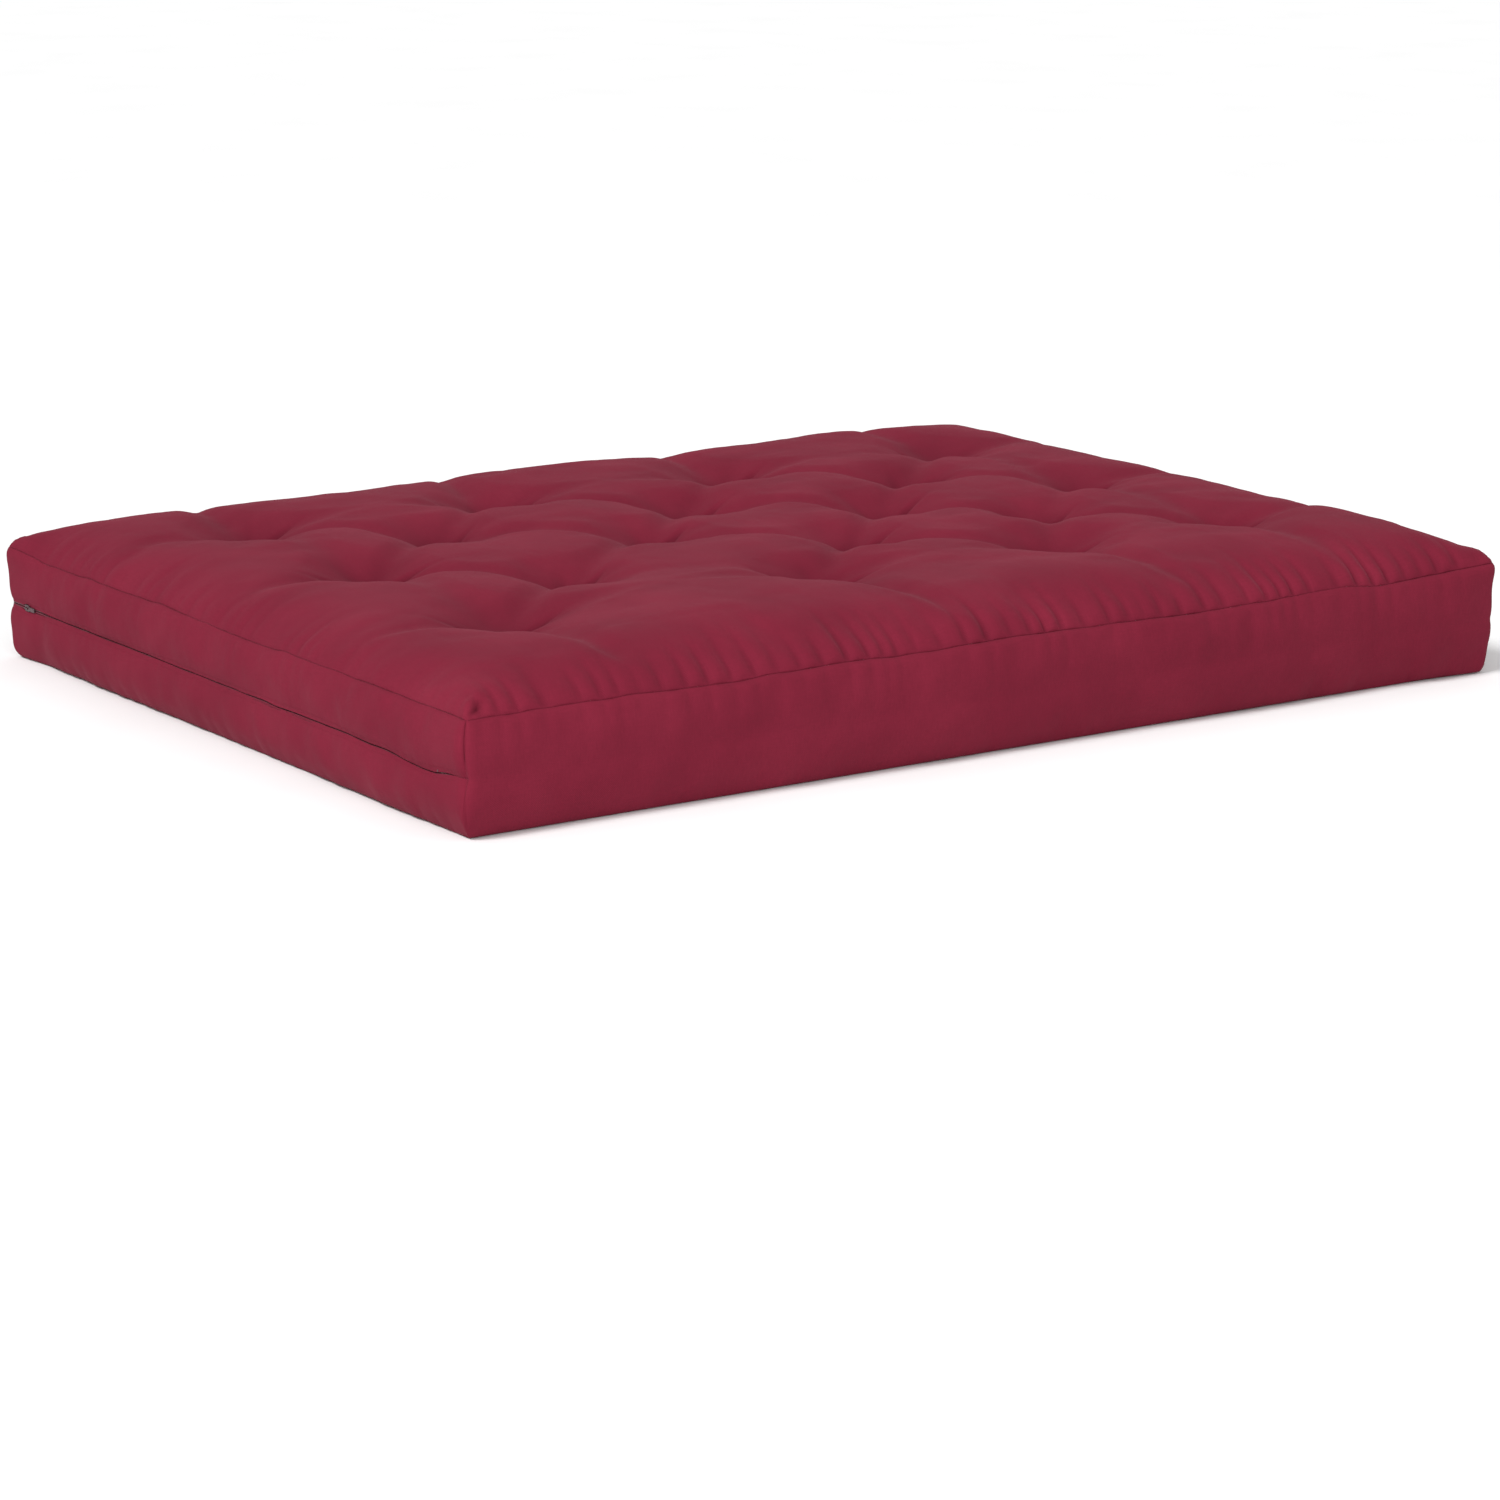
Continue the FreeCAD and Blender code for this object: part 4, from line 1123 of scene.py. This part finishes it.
def zip_opening(x, y):
    """Half the gap between the lips beside a point (x, y) of the outline."""
    still = np.zeros_like(x)
    gap = ZIP_GAP + 0.5 * MM * value_noise(x + y, still, 33 * MM, 91)
    on_left = x < -HALF_X + CORNER_RADIUS
    on_rear = y > HALF_Y - CORNER_RADIUS
    gap += OPEN_GAP * np.clip((y - OPEN_Y) / OPEN_RUN, 0, 1) * on_left
    gap += OPEN_GAP * np.clip((-x - OPEN_X) / OPEN_RUN, 0, 1) * on_rear
    gap += SLIDER_GAP * np.exp(-((y - SLIDER_Y) / SLIDER_REACH) ** 2) * on_left
    gap += SLIDER_GAP * np.exp(-((x - SLIDER_X) / SLIDER_REACH) ** 2) * on_rear
    return gap * np.clip((y - ZIP_START) / ZIP_RUN_OUT, 0, 1)


def zip_sway(x, y):
    """Height that the zip wanders from level: least where a slider runs, most near the front left."""
    still = np.zeros_like(x)
    free = np.clip((FREE_Y - y) / FREE_RUN, 0, 1) * np.clip((y - ZIP_START) / (40 * MM), 0, 1)
    ripple = (0.25 + 1.05 * free) * MM * value_noise(x + y, still, 60 * MM, 93)
    slow = 2.6 * MM * free * value_noise(x + y, still, 120 * MM, 94)
    sag = SAG_DEPTH * np.exp(-((y - SAG_Y) / SAG_RUN) ** 2) * (x < 0) * free
    return ripple + slow - sag


def with_lip(grid, plan_x, plan_y, out, z, up):
    """The strip with its zip edge folded back under itself as a hem over the tape."""
    gap = zip_opening(plan_x, plan_y)
    still = np.zeros_like(gap)
    wave = zip_sway(plan_x, plan_y)
    proud = 0.6 * MM * (0.5 + 0.5 * value_noise(plan_x + plan_y, still, 37 * MM, 95 + up))
    near = abs(z - ZIP_Z)
    grid = grid.copy()
    grid[..., 2] += up * gap * np.exp(-near / LIP_REACH) + wave * np.exp(-near / (16 * MM))
    grid += out * (proud * np.exp(-near / (10 * MM)))[..., None]
    edge = grid[-1:] if up > 0 else grid[:1]
    under = LIP_OUT - TAPE_OUT - 0.8 * MM
    hem = []
    for drop, height in (
        (0.3 * MM, gap + 0.3 * MM),
        (0.3 * MM, np.maximum(gap + 0.8 * MM, 4.3 * MM)),
        (under, np.maximum(gap + 1.6 * MM, 5.4 * MM)),
        (under, np.maximum(gap + 3 * MM, HEM_DEPTH)),
    ):
        row = edge - out * drop
        row[..., 2] = ZIP_Z + up * height + (wave if drop < 1 * MM else 0)
        hem.append(row)
    return np.concatenate([grid, *hem] if up > 0 else [*hem[::-1], grid])


STITCHES = []


def make_zipped_boxing(side, first, along, seed, gather, body=None):
    """The upper and the lower strip of one side, with the zip between them."""
    plan_x, plan_y = square_plan(first, along)
    for level, up in (("upper", 1), ("lower", -1)):
        rows = UPPER_PLACES if up > 0 else UPPER_ROWS + LOWER_PLACES
        grid, place, z, out = finished_wall(first, rows, along, seed, gather)
        grid = with_lip(grid, plan_x, plan_y, out, z, up)
        hems = len(grid) - len(z)
        pads = ((0, hems), (0, 0)) if up > 0 else ((hems, 0), (0, 0))
        place, z = np.pad(place, pads, "edge"), np.pad(z, pads, "edge")
        row = int(np.argmin(abs(abs(z[:, 0] - ZIP_Z) - SEAM_STEPS[-1])))
        STITCHES.append((grid[row], -grid_normals(grid)[row], plan_y))
        grid, place, z = with_allowance(grid, out, place, z, up > 0, up < 0)
        item = grid_item(f"cover_{side}_{level}_boxing", grid, place, z, turned=True)
        stem = f"cover_{side}_{level}"
        dressed(item, "cover_twill", [stem] if body else halves(stem), body)


# ---------------------------------------------------------------- zip
COIL_PITCH = 3.0 * MM
COIL_SIDES = 6
STITCH_PITCH = 3.6 * MM
STITCH_HALF = 1.45 * MM
STITCH_THICK = 0.32 * MM
STITCH_FACES = ((0, 1, 4), (1, 2, 4), (2, 3, 4), (3, 0, 4), (1, 0, 5), (2, 1, 5), (3, 2, 5), (0, 3, 5))


def outline_lengths():
    """Distances along the zip at which its outline turns from straight to bend and back."""
    end = HALF_Y - CORNER_RADIUS - ZIP_START
    bend = math.pi / 2 * CORNER_RADIUS
    return np.cumsum([0, end, bend, 2 * (HALF_X - CORNER_RADIUS), bend, end])


def on_outline(distance, offset, rise):
    """Points along the zip, from the right end round the rear to the left end."""
    turns = outline_lengths()
    far_x, far_y = HALF_X - CORNER_RADIUS, HALF_Y - CORNER_RADIUS
    angle = np.interp(distance, turns, [0, 0, math.pi / 2, math.pi / 2, math.pi, math.pi])
    x = np.interp(distance, turns, [far_x, far_x, far_x, -far_x, -far_x, -far_x])
    y = np.interp(distance, turns, [ZIP_START, far_y, far_y, far_y, far_y, ZIP_START])
    reach = CORNER_RADIUS + offset
    return np.stack([x + reach * np.cos(angle), y + reach * np.sin(angle), ZIP_Z + rise + 0 * x], -1)


def outline_steps(straight, bent):
    """Distances along the zip, closer together in its bends."""
    turns = outline_lengths()
    parts = []
    for number, (start, stop) in enumerate(zip(turns, turns[1:])):
        count = math.ceil((stop - start) / (bent if number % 2 else straight))
        parts.append(np.linspace(start, stop, count + 1)[:-1])
    return np.concatenate([*parts, turns[-1:]])


def zip_nodes(stem):
    return [f"{stem}_{part}" for part in ("seat_left", "seat_right", "back")]


def make_tape(level, up):
    distance = outline_steps(9 * MM, 2 * MM)
    rises = np.linspace(TAPE_NEAR, TAPE_FAR, 7) * up
    ripple = 0.18 * MM * value_noise(distance, distance * 0, 18 * MM, 97 + up)
    sway = zip_sway(*on_outline(distance, 0, 0)[:, :2].T)
    grid = np.stack([on_outline(distance, TAPE_OUT + ripple, rise + sway) for rise in rises])
    u, v = np.meshgrid(distance, rises)
    item = grid_item(f"zip_{level}_tape", grid, u, v, turned=up < 0)
    dressed(item, "zip_tape", zip_nodes(f"zip_tape_{level}"))


def signed_volume(points, faces):
    first = points[faces[:, 0]]
    spans = [points[faces[:, k]] for k in range(1, faces.shape[1])]
    return sum(np.einsum("ij,ij->", first, np.cross(b, c)) for b, c in zip(spans, spans[1:]))


def closed_tube(rings):
    """Points and faces of a tube through rings of points, closed at both ends, faces outward."""
    count, sides = rings.shape[:2]
    index = np.arange(count * sides).reshape(count, sides)
    points = np.vstack([rings.reshape(-1, 3), rings[0].mean(axis=0), rings[-1].mean(axis=0)])
    around = quads(np.hstack([index, index[:, :1]]))
    fans = []
    for row, centre, back in ((index[0], count * sides, True), (index[-1], count * sides + 1, False)):
        following = np.roll(row, -1)
        pair = (following, row) if back else (row, following)
        fans.append(np.stack([*pair, np.full(sides, centre)], -1))
    ends = np.vstack(fans)
    middle = points.mean(axis=0)
    if signed_volume(points - middle, around) + signed_volume(points - middle, ends) < 0:
        around, ends = around[:, ::-1], ends[:, ::-1]
    return points, around, ends


def merged(parts):
    """Points, quads and triangles of several tubes as one set."""
    points, around, ends, start = [], [], [], 0
    for part_points, part_around, part_ends in parts:
        points.append(part_points)
        around.append(part_around + start)
        ends.append(part_ends + start)
        start += len(part_points)
    return np.vstack(points), np.vstack(around), np.vstack(ends)


def make_coil(level, up):
    """Ribbed coil: each turn reaches in between two turns of the other coil."""
    length = float(outline_lengths()[-1])
    distance = np.arange(0, length, COIL_PITCH / 2)
    wide = (np.arange(len(distance)) % 2 == (up > 0)).astype(float)
    near = np.where(wide, 0.2 * MM, 1.3 * MM)
    far = np.where(wide, 3.55 * MM, 3.1 * MM)
    half_out = (COIL_OUT - COIL_IN) / 2 * np.where(wide, 1, 0.78)
    sway = zip_sway(*on_outline(distance, 0, 0)[:, :2].T)
    rings = []
    for angle in np.linspace(0, 2 * math.pi, COIL_SIDES, endpoint=False):
        offset = (COIL_IN + COIL_OUT) / 2 + half_out * math.cos(angle)
        rise = up * ((near + far) / 2 + (far - near) / 2 * math.sin(angle)) + sway
        rings.append(on_outline(distance, offset, rise))
    points, around, ends = closed_tube(np.stack(rings, axis=1))
    item = mesh_object(f"zip_{level}_coil", points, around, ends)
    along = np.concatenate([np.repeat(distance, COIL_SIDES), [0, length]])
    add_map(item, along, points[:, 2])
    dressed(item, "zip_coil", zip_nodes(f"zip_coil_{level}"))


def stitches_along(row, normals, plan_y):
    """Stitches along a row of points: long slim eight-faced beads of thread."""
    step = np.linalg.norm(np.diff(row, axis=0), axis=1)
    run = np.concatenate([[0], np.cumsum(step)])
    middle = np.arange(STITCH_PITCH, run[-1] - STITCH_PITCH, STITCH_PITCH)
    middle = middle[np.interp(middle, run, plan_y) > ZIP_START]
    centre = np.stack([np.interp(middle, run, row[:, k]) for k in range(3)], -1)
    ahead = np.stack([np.interp(middle + MM, run, row[:, k]) for k in range(3)], -1) - centre
    ahead /= np.linalg.norm(ahead, axis=1, keepdims=True)
    normal = np.stack([np.interp(middle, run, normals[:, k]) for k in range(3)], -1)
    normal /= np.linalg.norm(normal, axis=1, keepdims=True)
    aside = np.cross(ahead, normal)
    tips = [ahead * STITCH_HALF, aside * STITCH_THICK, -ahead * STITCH_HALF, -aside * STITCH_THICK]
    corners = [*tips, normal * 1.2 * STITCH_THICK, -normal * STITCH_THICK]
    points = np.stack([centre + corner for corner in corners], axis=1)
    start = np.arange(len(middle))[:, None, None] * len(corners)
    return points.reshape(-1, 3), (start + np.array(STITCH_FACES)[None, :, ::-1]).reshape(-1, 3)


def make_stitching():
    points, faces, start = [], [], 0
    for row, normals, plan_y in STITCHES:
        more_points, more_faces = stitches_along(row, normals, plan_y)
        points.append(more_points)
        faces.append(more_faces + start)
        start += len(more_points)
    points = np.vstack(points)
    item = mesh_object("zip_stitching", points, np.vstack(faces))
    add_map(item, points[:, 0] + points[:, 1], points[:, 2])
    dressed(item, "cover_twill", [])


# ---------------------------------------------------------------- inner mattress
TICKING_GAP = 5 * MM
FILLING_GAP = 11 * MM
BASE_LIFT = 6 * MM
INNER_GAP = 6 * MM
LAYER_GAP = 13 * MM
LAYER_ROOM = 0.4 * MM
LAYER_WAVE = 0.3 * MM
COTTON_FLUFF = 1.2 * MM
FOAM_FLUFF = 0.3 * MM
LAYERS = ("cotton_lower", "foam_lower", "cotton_middle", "foam_upper", "cotton_upper")
LAYER_SEED = 101
LAYER_CELLS_X, LAYER_CELLS_Y = 64, 46
LAYER_SIDES = (0.15, 0.5, 0.85)
PAD_RADIUS = 12.5 * MM
PAD_SIDES = 24
TWINE_RADIUS = 1.2 * MM
TWINE_STEP = 2.4 * MM
TWINE_SIDES = 6
TWIST = 9 * MM
KNOT_RADIUS = 3 * MM
KNOT_SIDES = 8


def near_tufts(x, y, reach):
    """1 at a tuft, falling to 0 away from it."""
    share = np.zeros_like(x)
    for tuft in TUFTS:
        share = np.maximum(share, np.exp(-(np.hypot(x - tuft.x, y - tuft.y) / reach) ** 2))
    return share


def under_cover(x, y, gap):
    """How far a layer lies under the top panel: a gap, more under the creases and the pads."""
    pad_gap = TIE_HIGH.z + KNOT_ROOM - PAD_LOW.z + gap - 4.5 * MM
    beside = near_tufts(x, y, 95 * MM) - near_tufts(x, y, 15 * MM)
    return gap + (pad_gap - gap) * near_tufts(x, y, 32 * MM) + 13 * MM * beside


def make_ticking_top():
    grid = top_shape.copy()
    x, y = grid[..., 0].copy(), grid[..., 1].copy()
    grid[..., 2] -= under_cover(x, y, TICKING_GAP)
    grid[..., 0] *= 1 - INNER_GAP / HALF_X
    grid[..., 1] *= 1 - INNER_GAP / HALF_Y
    item = grid_item("ticking_top_sheet", rounded(grid), x, y)
    dressed(item, "cotton_ticking", halves("ticking_top"))


def inner_plan(x, y, z, gap):
    """Plan of a ring inside the cover at a height, a gap in from the cloth."""
    end = np.minimum(zipped_offset(z) - gap, -1 * MM)
    side = np.minimum(np.where(y < 0, front_offset(z), zipped_offset(z)) - gap, -1 * MM)
    return rounded(np.stack([x * (1 + end / HALF_X), y * (1 + side / HALF_Y), z + 0 * x], -1))


def make_ticking_border():
    xs = np.linspace(-HALF_X, HALF_X, CELLS_X + 1)
    ys = np.linspace(-HALF_Y, HALF_Y, CELLS_Y + 1)
    ring = np.vstack([RING, RING[:1]])
    x, y = xs[ring[:, 1]], ys[ring[:, 0]]
    heights = np.linspace(SEAM_Z - TICKING_GAP, BASE_LIFT, 13)
    grid = np.stack([inner_plan(x, y, np.full_like(x, z), INNER_GAP) for z in heights])
    height = grid[..., 2]
    wrinkle = 0.8 * MM * value_noise((x + y)[None] + 0 * height, height * 0.4, 50 * MM, 83)
    grid -= outward(x, y)[None] * (wrinkle + 0.8 * MM)[..., None]
    u = np.concatenate([[0], np.cumsum(np.hypot(np.diff(x), np.diff(y)))])
    item = grid_item("ticking_border_sheet", grid, u[None] + 0 * grid[..., 2], grid[..., 2], turned=True)
    dressed(item, "cotton_ticking", halves("ticking_border"))


def plan_grid(cells_x, cells_y):
    xs = np.linspace(-HALF_X, HALF_X, cells_x + 1)
    return np.meshgrid(xs, np.linspace(-HALF_Y, HALF_Y, cells_y + 1))


def base_rise(x, y):
    """Height of the inner mattress's underside, drawn up over the base pads."""
    return BASE_LIFT + drawn_up(x, y) + (BASE_PAD_HIGH.z - 12 * MM) * near_tufts(x, y, 42 * MM)


def make_ticking_base():
    x, y = plan_grid(96, 70)
    grid = inner_plan(x, y, np.zeros_like(x), INNER_GAP)
    grid[..., 2] = base_rise(x, y)
    item = grid_item("ticking_base_sheet", grid, x, y, turned=True)
    dressed(item, "cotton_ticking", halves("ticking_base"))


def layer_surfaces(name, seed, lowest, highest):
    """Plan of a filling layer with the heights of its top and its underside."""
    low, high = (corner.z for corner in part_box(name + "_back"))
    x, y = plan_grid(LAYER_CELLS_X, LAYER_CELLS_Y)
    under = low + LAYER_ROOM + LAYER_WAVE * value_noise(x, y, 80 * MM, seed)
    over = high - LAYER_ROOM + LAYER_WAVE * value_noise(x, y, 80 * MM, seed + 1)
    if lowest:
        under = base_rise(x, y) + 3 * MM
    if highest:
        rows = np.linspace(0, CELLS_Y, LAYER_CELLS_Y + 1)
        columns = np.linspace(0, CELLS_X, LAYER_CELLS_X + 1)
        over = resample(top_shape[..., 2], rows, columns) - under_cover(x, y, FILLING_GAP)
    return x, y, over, under


def layer_sides(x, y, over, under, seed, fluff):
    """Rows of points round a filling layer, a little uneven."""
    sides = []
    for share in LAYER_SIDES:
        z = over + share * (under - over)
        tuffet = fluff * value_noise(x + y, z, 24 * MM, seed + 2)
        sides.append(inner_plan(x, y, z, LAYER_GAP) - outward(x, y) * (fluff + tuffet)[:, None])
    return np.vstack(sides)


def make_layer(name, seed, lowest, highest):
    """One slab of the filling: wavy top and underside, and sides that follow the cover."""
    cotton = name.startswith("cotton")
    x, y, over, under = layer_surfaces(name, seed, lowest, highest)
    ring = tuple(perimeter(LAYER_CELLS_X, LAYER_CELLS_Y).T)
    fluff = COTTON_FLUFF if cotton else FOAM_FLUFF
    sides = layer_sides(x[ring], y[ring], over[ring], under[ring], seed, fluff)
    top, bottom = (inner_plan(x, y, z, LAYER_GAP + 2 * MM).reshape(-1, 3) for z in (over, under))
    index = np.arange(x.size).reshape(x.shape)
    rows = x.size + np.arange(len(sides)).reshape(len(LAYER_SIDES), -1)
    low_index = index + x.size + len(sides)
    levels = np.vstack([index[ring], rows, low_index[ring]])
    around = quads(np.hstack([levels, levels[:, :1]]))[:, ::-1]
    points = np.vstack([top, sides, bottom])
    faces = np.vstack([quads(index), around, quads(low_index)[:, ::-1]])
    item = mesh_object("filling_" + name, points, faces)
    add_map(item, points[:, 0] + points[:, 2], points[:, 1] + points[:, 2])
    dressed(item, "cotton_batting" if cotton else "foam", halves(name))


def round_angles(sides):
    return np.linspace(0, 2 * math.pi, sides, endpoint=False)


def ring_at(centre, reach, angle, z):
    """Points round a centre at a height; the reach may change with the angle."""
    level = [centre.x + reach * np.cos(angle), centre.y + reach * np.sin(angle)]
    return np.stack([*level, z + 0 * angle], -1)


def disc_rings(centre, low, high):
    """Rings of a round felt pad with a soft edge."""
    angle = round_angles(PAD_SIDES)
    rim = (high - low) * 0.3
    flat = 1 - rim / PAD_RADIUS
    profile = ((0.5, low), (flat, low), (1, low + rim), (1, high - rim), (flat, high), (0.5, high))
    return np.array([ring_at(centre, share * PAD_RADIUS, angle, z) for share, z in profile])


def twine_rings(centre, low, high):
    """Rings of a two-strand twisted twine."""
    angle = round_angles(TWINE_SIDES)
    rings = []
    for z in np.linspace(low, high, max(int((high - low) / TWINE_STEP), 2)):
        lobes = TWINE_RADIUS * (0.78 + 0.22 * np.cos(2 * (angle - z / TWIST * math.pi)))
        rings.append(ring_at(centre, lobes, angle, z))
    return np.array(rings)


def knot_rings(centre, low, high):
    """Rings of a tight round knot."""
    angle = round_angles(KNOT_SIDES)
    rings = []
    for share in np.linspace(0.08, 0.92, 7):
        reach = KNOT_RADIUS * math.sqrt(4 * share * (1 - share))
        lobes = reach * (0.88 + 0.12 * np.cos(3 * angle + 6 * share))
        rings.append(ring_at(centre, lobes, angle, low + share * (high - low)))
    return np.array(rings)


def make_tufts():
    for name, low, high in (("top", PAD_LOW.z, PAD_HIGH.z), ("base", BASE_PAD_LOW.z, BASE_PAD_HIGH.z)):
        pads = [closed_tube(disc_rings(tuft, low, high)) for tuft in TUFTS]
        item = mesh_object(f"tuft_{name}_pads", *merged(pads))
        dressed(item, "wool_felt", halves(f"tuft_pads_{name}"))
    ties = []
    for tuft in TUFTS:
        ties.append(closed_tube(twine_rings(tuft, BASE_PAD_LOW.z, PAD_HIGH.z)))
        ties.append(closed_tube(knot_rings(tuft, PAD_HIGH.z, TIE_HIGH.z)))
        ties.append(closed_tube(knot_rings(tuft, TIE_LOW.z, BASE_PAD_LOW.z)))
    item = mesh_object("tuft_twine", *merged(ties))
    dressed(item, "waxed_twine", halves("tuft_ties"))


# ---------------------------------------------------------------- hardware
BROKEN_EDGE = 0.18 * MM
SHARP_ANGLE = math.radians(40)
HARDWARE = ("zip_stop_left", "zip_stop_right", "slider_left", "pull_left", "slider_rear", "pull_rear")


def dress_hardware():
    """Metal on the CAD's own sliders, pulls and stops, with their edges broken."""
    for name in HARDWARE:
        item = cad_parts[name]
        item.data.materials.clear()
        item.data.materials.append(MATERIALS["zip_metal"])
        bevel = item.modifiers.new("broken_edges", "BEVEL")
        bevel.width = BROKEN_EDGE
        bevel.segments = 2
        bevel.limit_method = "ANGLE"
        bevel.angle_limit = SHARP_ANGLE


make_top_panel()
make_base_panel()
make_front_boxing()
make_zipped_boxing("right", RIGHT_START, ALONG_Y, RIGHT_SEED, 1.5 * MM)
make_zipped_boxing("rear", REAR_START, ALONG_X, REAR_SEED, 1.4 * MM, "back_half")
make_zipped_boxing("left", LEFT_START, ALONG_Y, LEFT_SEED, 1.0 * MM)
make_stitching()
for zip_level, zip_side in (("upper", 1), ("lower", -1)):
    make_tape(zip_level, zip_side)
    make_coil(zip_level, zip_side)
make_ticking_top()
make_ticking_border()
make_ticking_base()
for number, layer in enumerate(LAYERS):
    make_layer(layer, LAYER_SEED + 10 * number, layer == LAYERS[0], layer == LAYERS[-1])
make_tufts()
dress_hardware()

# ---------------------------------------------------------------- camera, floor and light
AZIMUTH = math.radians(35.3)
TILT = math.radians(13.89)
ROLL = math.radians(-0.55)
FOCAL = 108.12
EYE = Vector((-4.053, -5.7295, 1.595))
FLOOR_TONES = [(0.3, (0.85, 0.85, 0.85)), (0.7, (0.88, 0.88, 0.88))]
SURROUND = 0.60
KEY_POWER = 2.45
KEY_SPREAD = math.radians(18)
KEY_FROM = Vector((-0.66, -0.10, 0.74))
AIM = Vector((0, 0, 0.1))


def add_camera():
    """Camera at the angle of a long lens in front of the left end."""
    ahead = Vector((math.sin(AZIMUTH) * math.cos(TILT), math.cos(AZIMUTH) * math.cos(TILT),
                    -math.sin(TILT)))
    level = Vector((math.cos(AZIMUTH), -math.sin(AZIMUTH), 0))
    upright = level.cross(ahead)
    right = math.cos(ROLL) * level - math.sin(ROLL) * upright
    up = math.sin(ROLL) * level + math.cos(ROLL) * upright
    data = bpy.data.cameras.new("camera")
    data.sensor_width = 36
    data.lens = FOCAL
    data.clip_end = 60
    camera = bpy.data.objects.new("camera", data)
    placed = Matrix((right, up, -ahead)).transposed().to_4x4()
    placed.translation = EYE
    camera.matrix_world = placed
    bpy.context.scene.collection.objects.link(camera)
    bpy.context.scene.camera = camera


def add_floor():
    """Pale matt floor with a faint mottle."""
    bpy.ops.mesh.primitive_plane_add(size=40, location=(0, 0, 0))
    floor = bpy.context.active_object
    floor.name = "floor"
    material, tree, shader = start_material("floor")
    mottle = noise(tree, object_place(tree), 3, 4)
    feed(tree, shader, {"Base Color": ramp(tree, mottle, FLOOR_TONES), "Roughness": 0.9})
    floor.data.materials.append(material)


def add_lamp(name, kind, power, aimed_from):
    """Lamp that shines from a place or a direction towards the mattress."""
    data = bpy.data.lights.new(name, kind)
    data.energy = power
    lamp = bpy.data.objects.new(name, data)
    lamp.rotation_euler = aimed_from.to_track_quat("Z", "Y").to_euler()
    bpy.context.scene.collection.objects.link(lamp)
    return lamp


def add_panel_lamp(name, place, size, power):
    lamp = add_lamp(name, "AREA", power, Vector(place) - AIM)
    lamp.location = place
    lamp.data.shape = "RECTANGLE"
    lamp.data.size, lamp.data.size_y = size


def add_light():
    """White surround, a broad key from above the left, a front panel and a weak rear one."""
    world = bpy.data.worlds.new("studio")
    world.use_nodes = True
    background = world.node_tree.nodes["Background"]
    feed(world.node_tree, background, {"Color": (1, 1, 1, 1), "Strength": SURROUND})
    bpy.context.scene.world = world
    bpy.context.scene.view_settings.view_transform = "Standard"
    add_lamp("key", "SUN", KEY_POWER, KEY_FROM).data.angle = KEY_SPREAD
    add_panel_lamp("front", (-2.4, -4.6, 1.8), (2.4, 1.6), 112)
    add_panel_lamp("rear", (1.5, 2.6, 2.6), (2.0, 1.4), 6)


add_camera()
add_floor()
add_light()
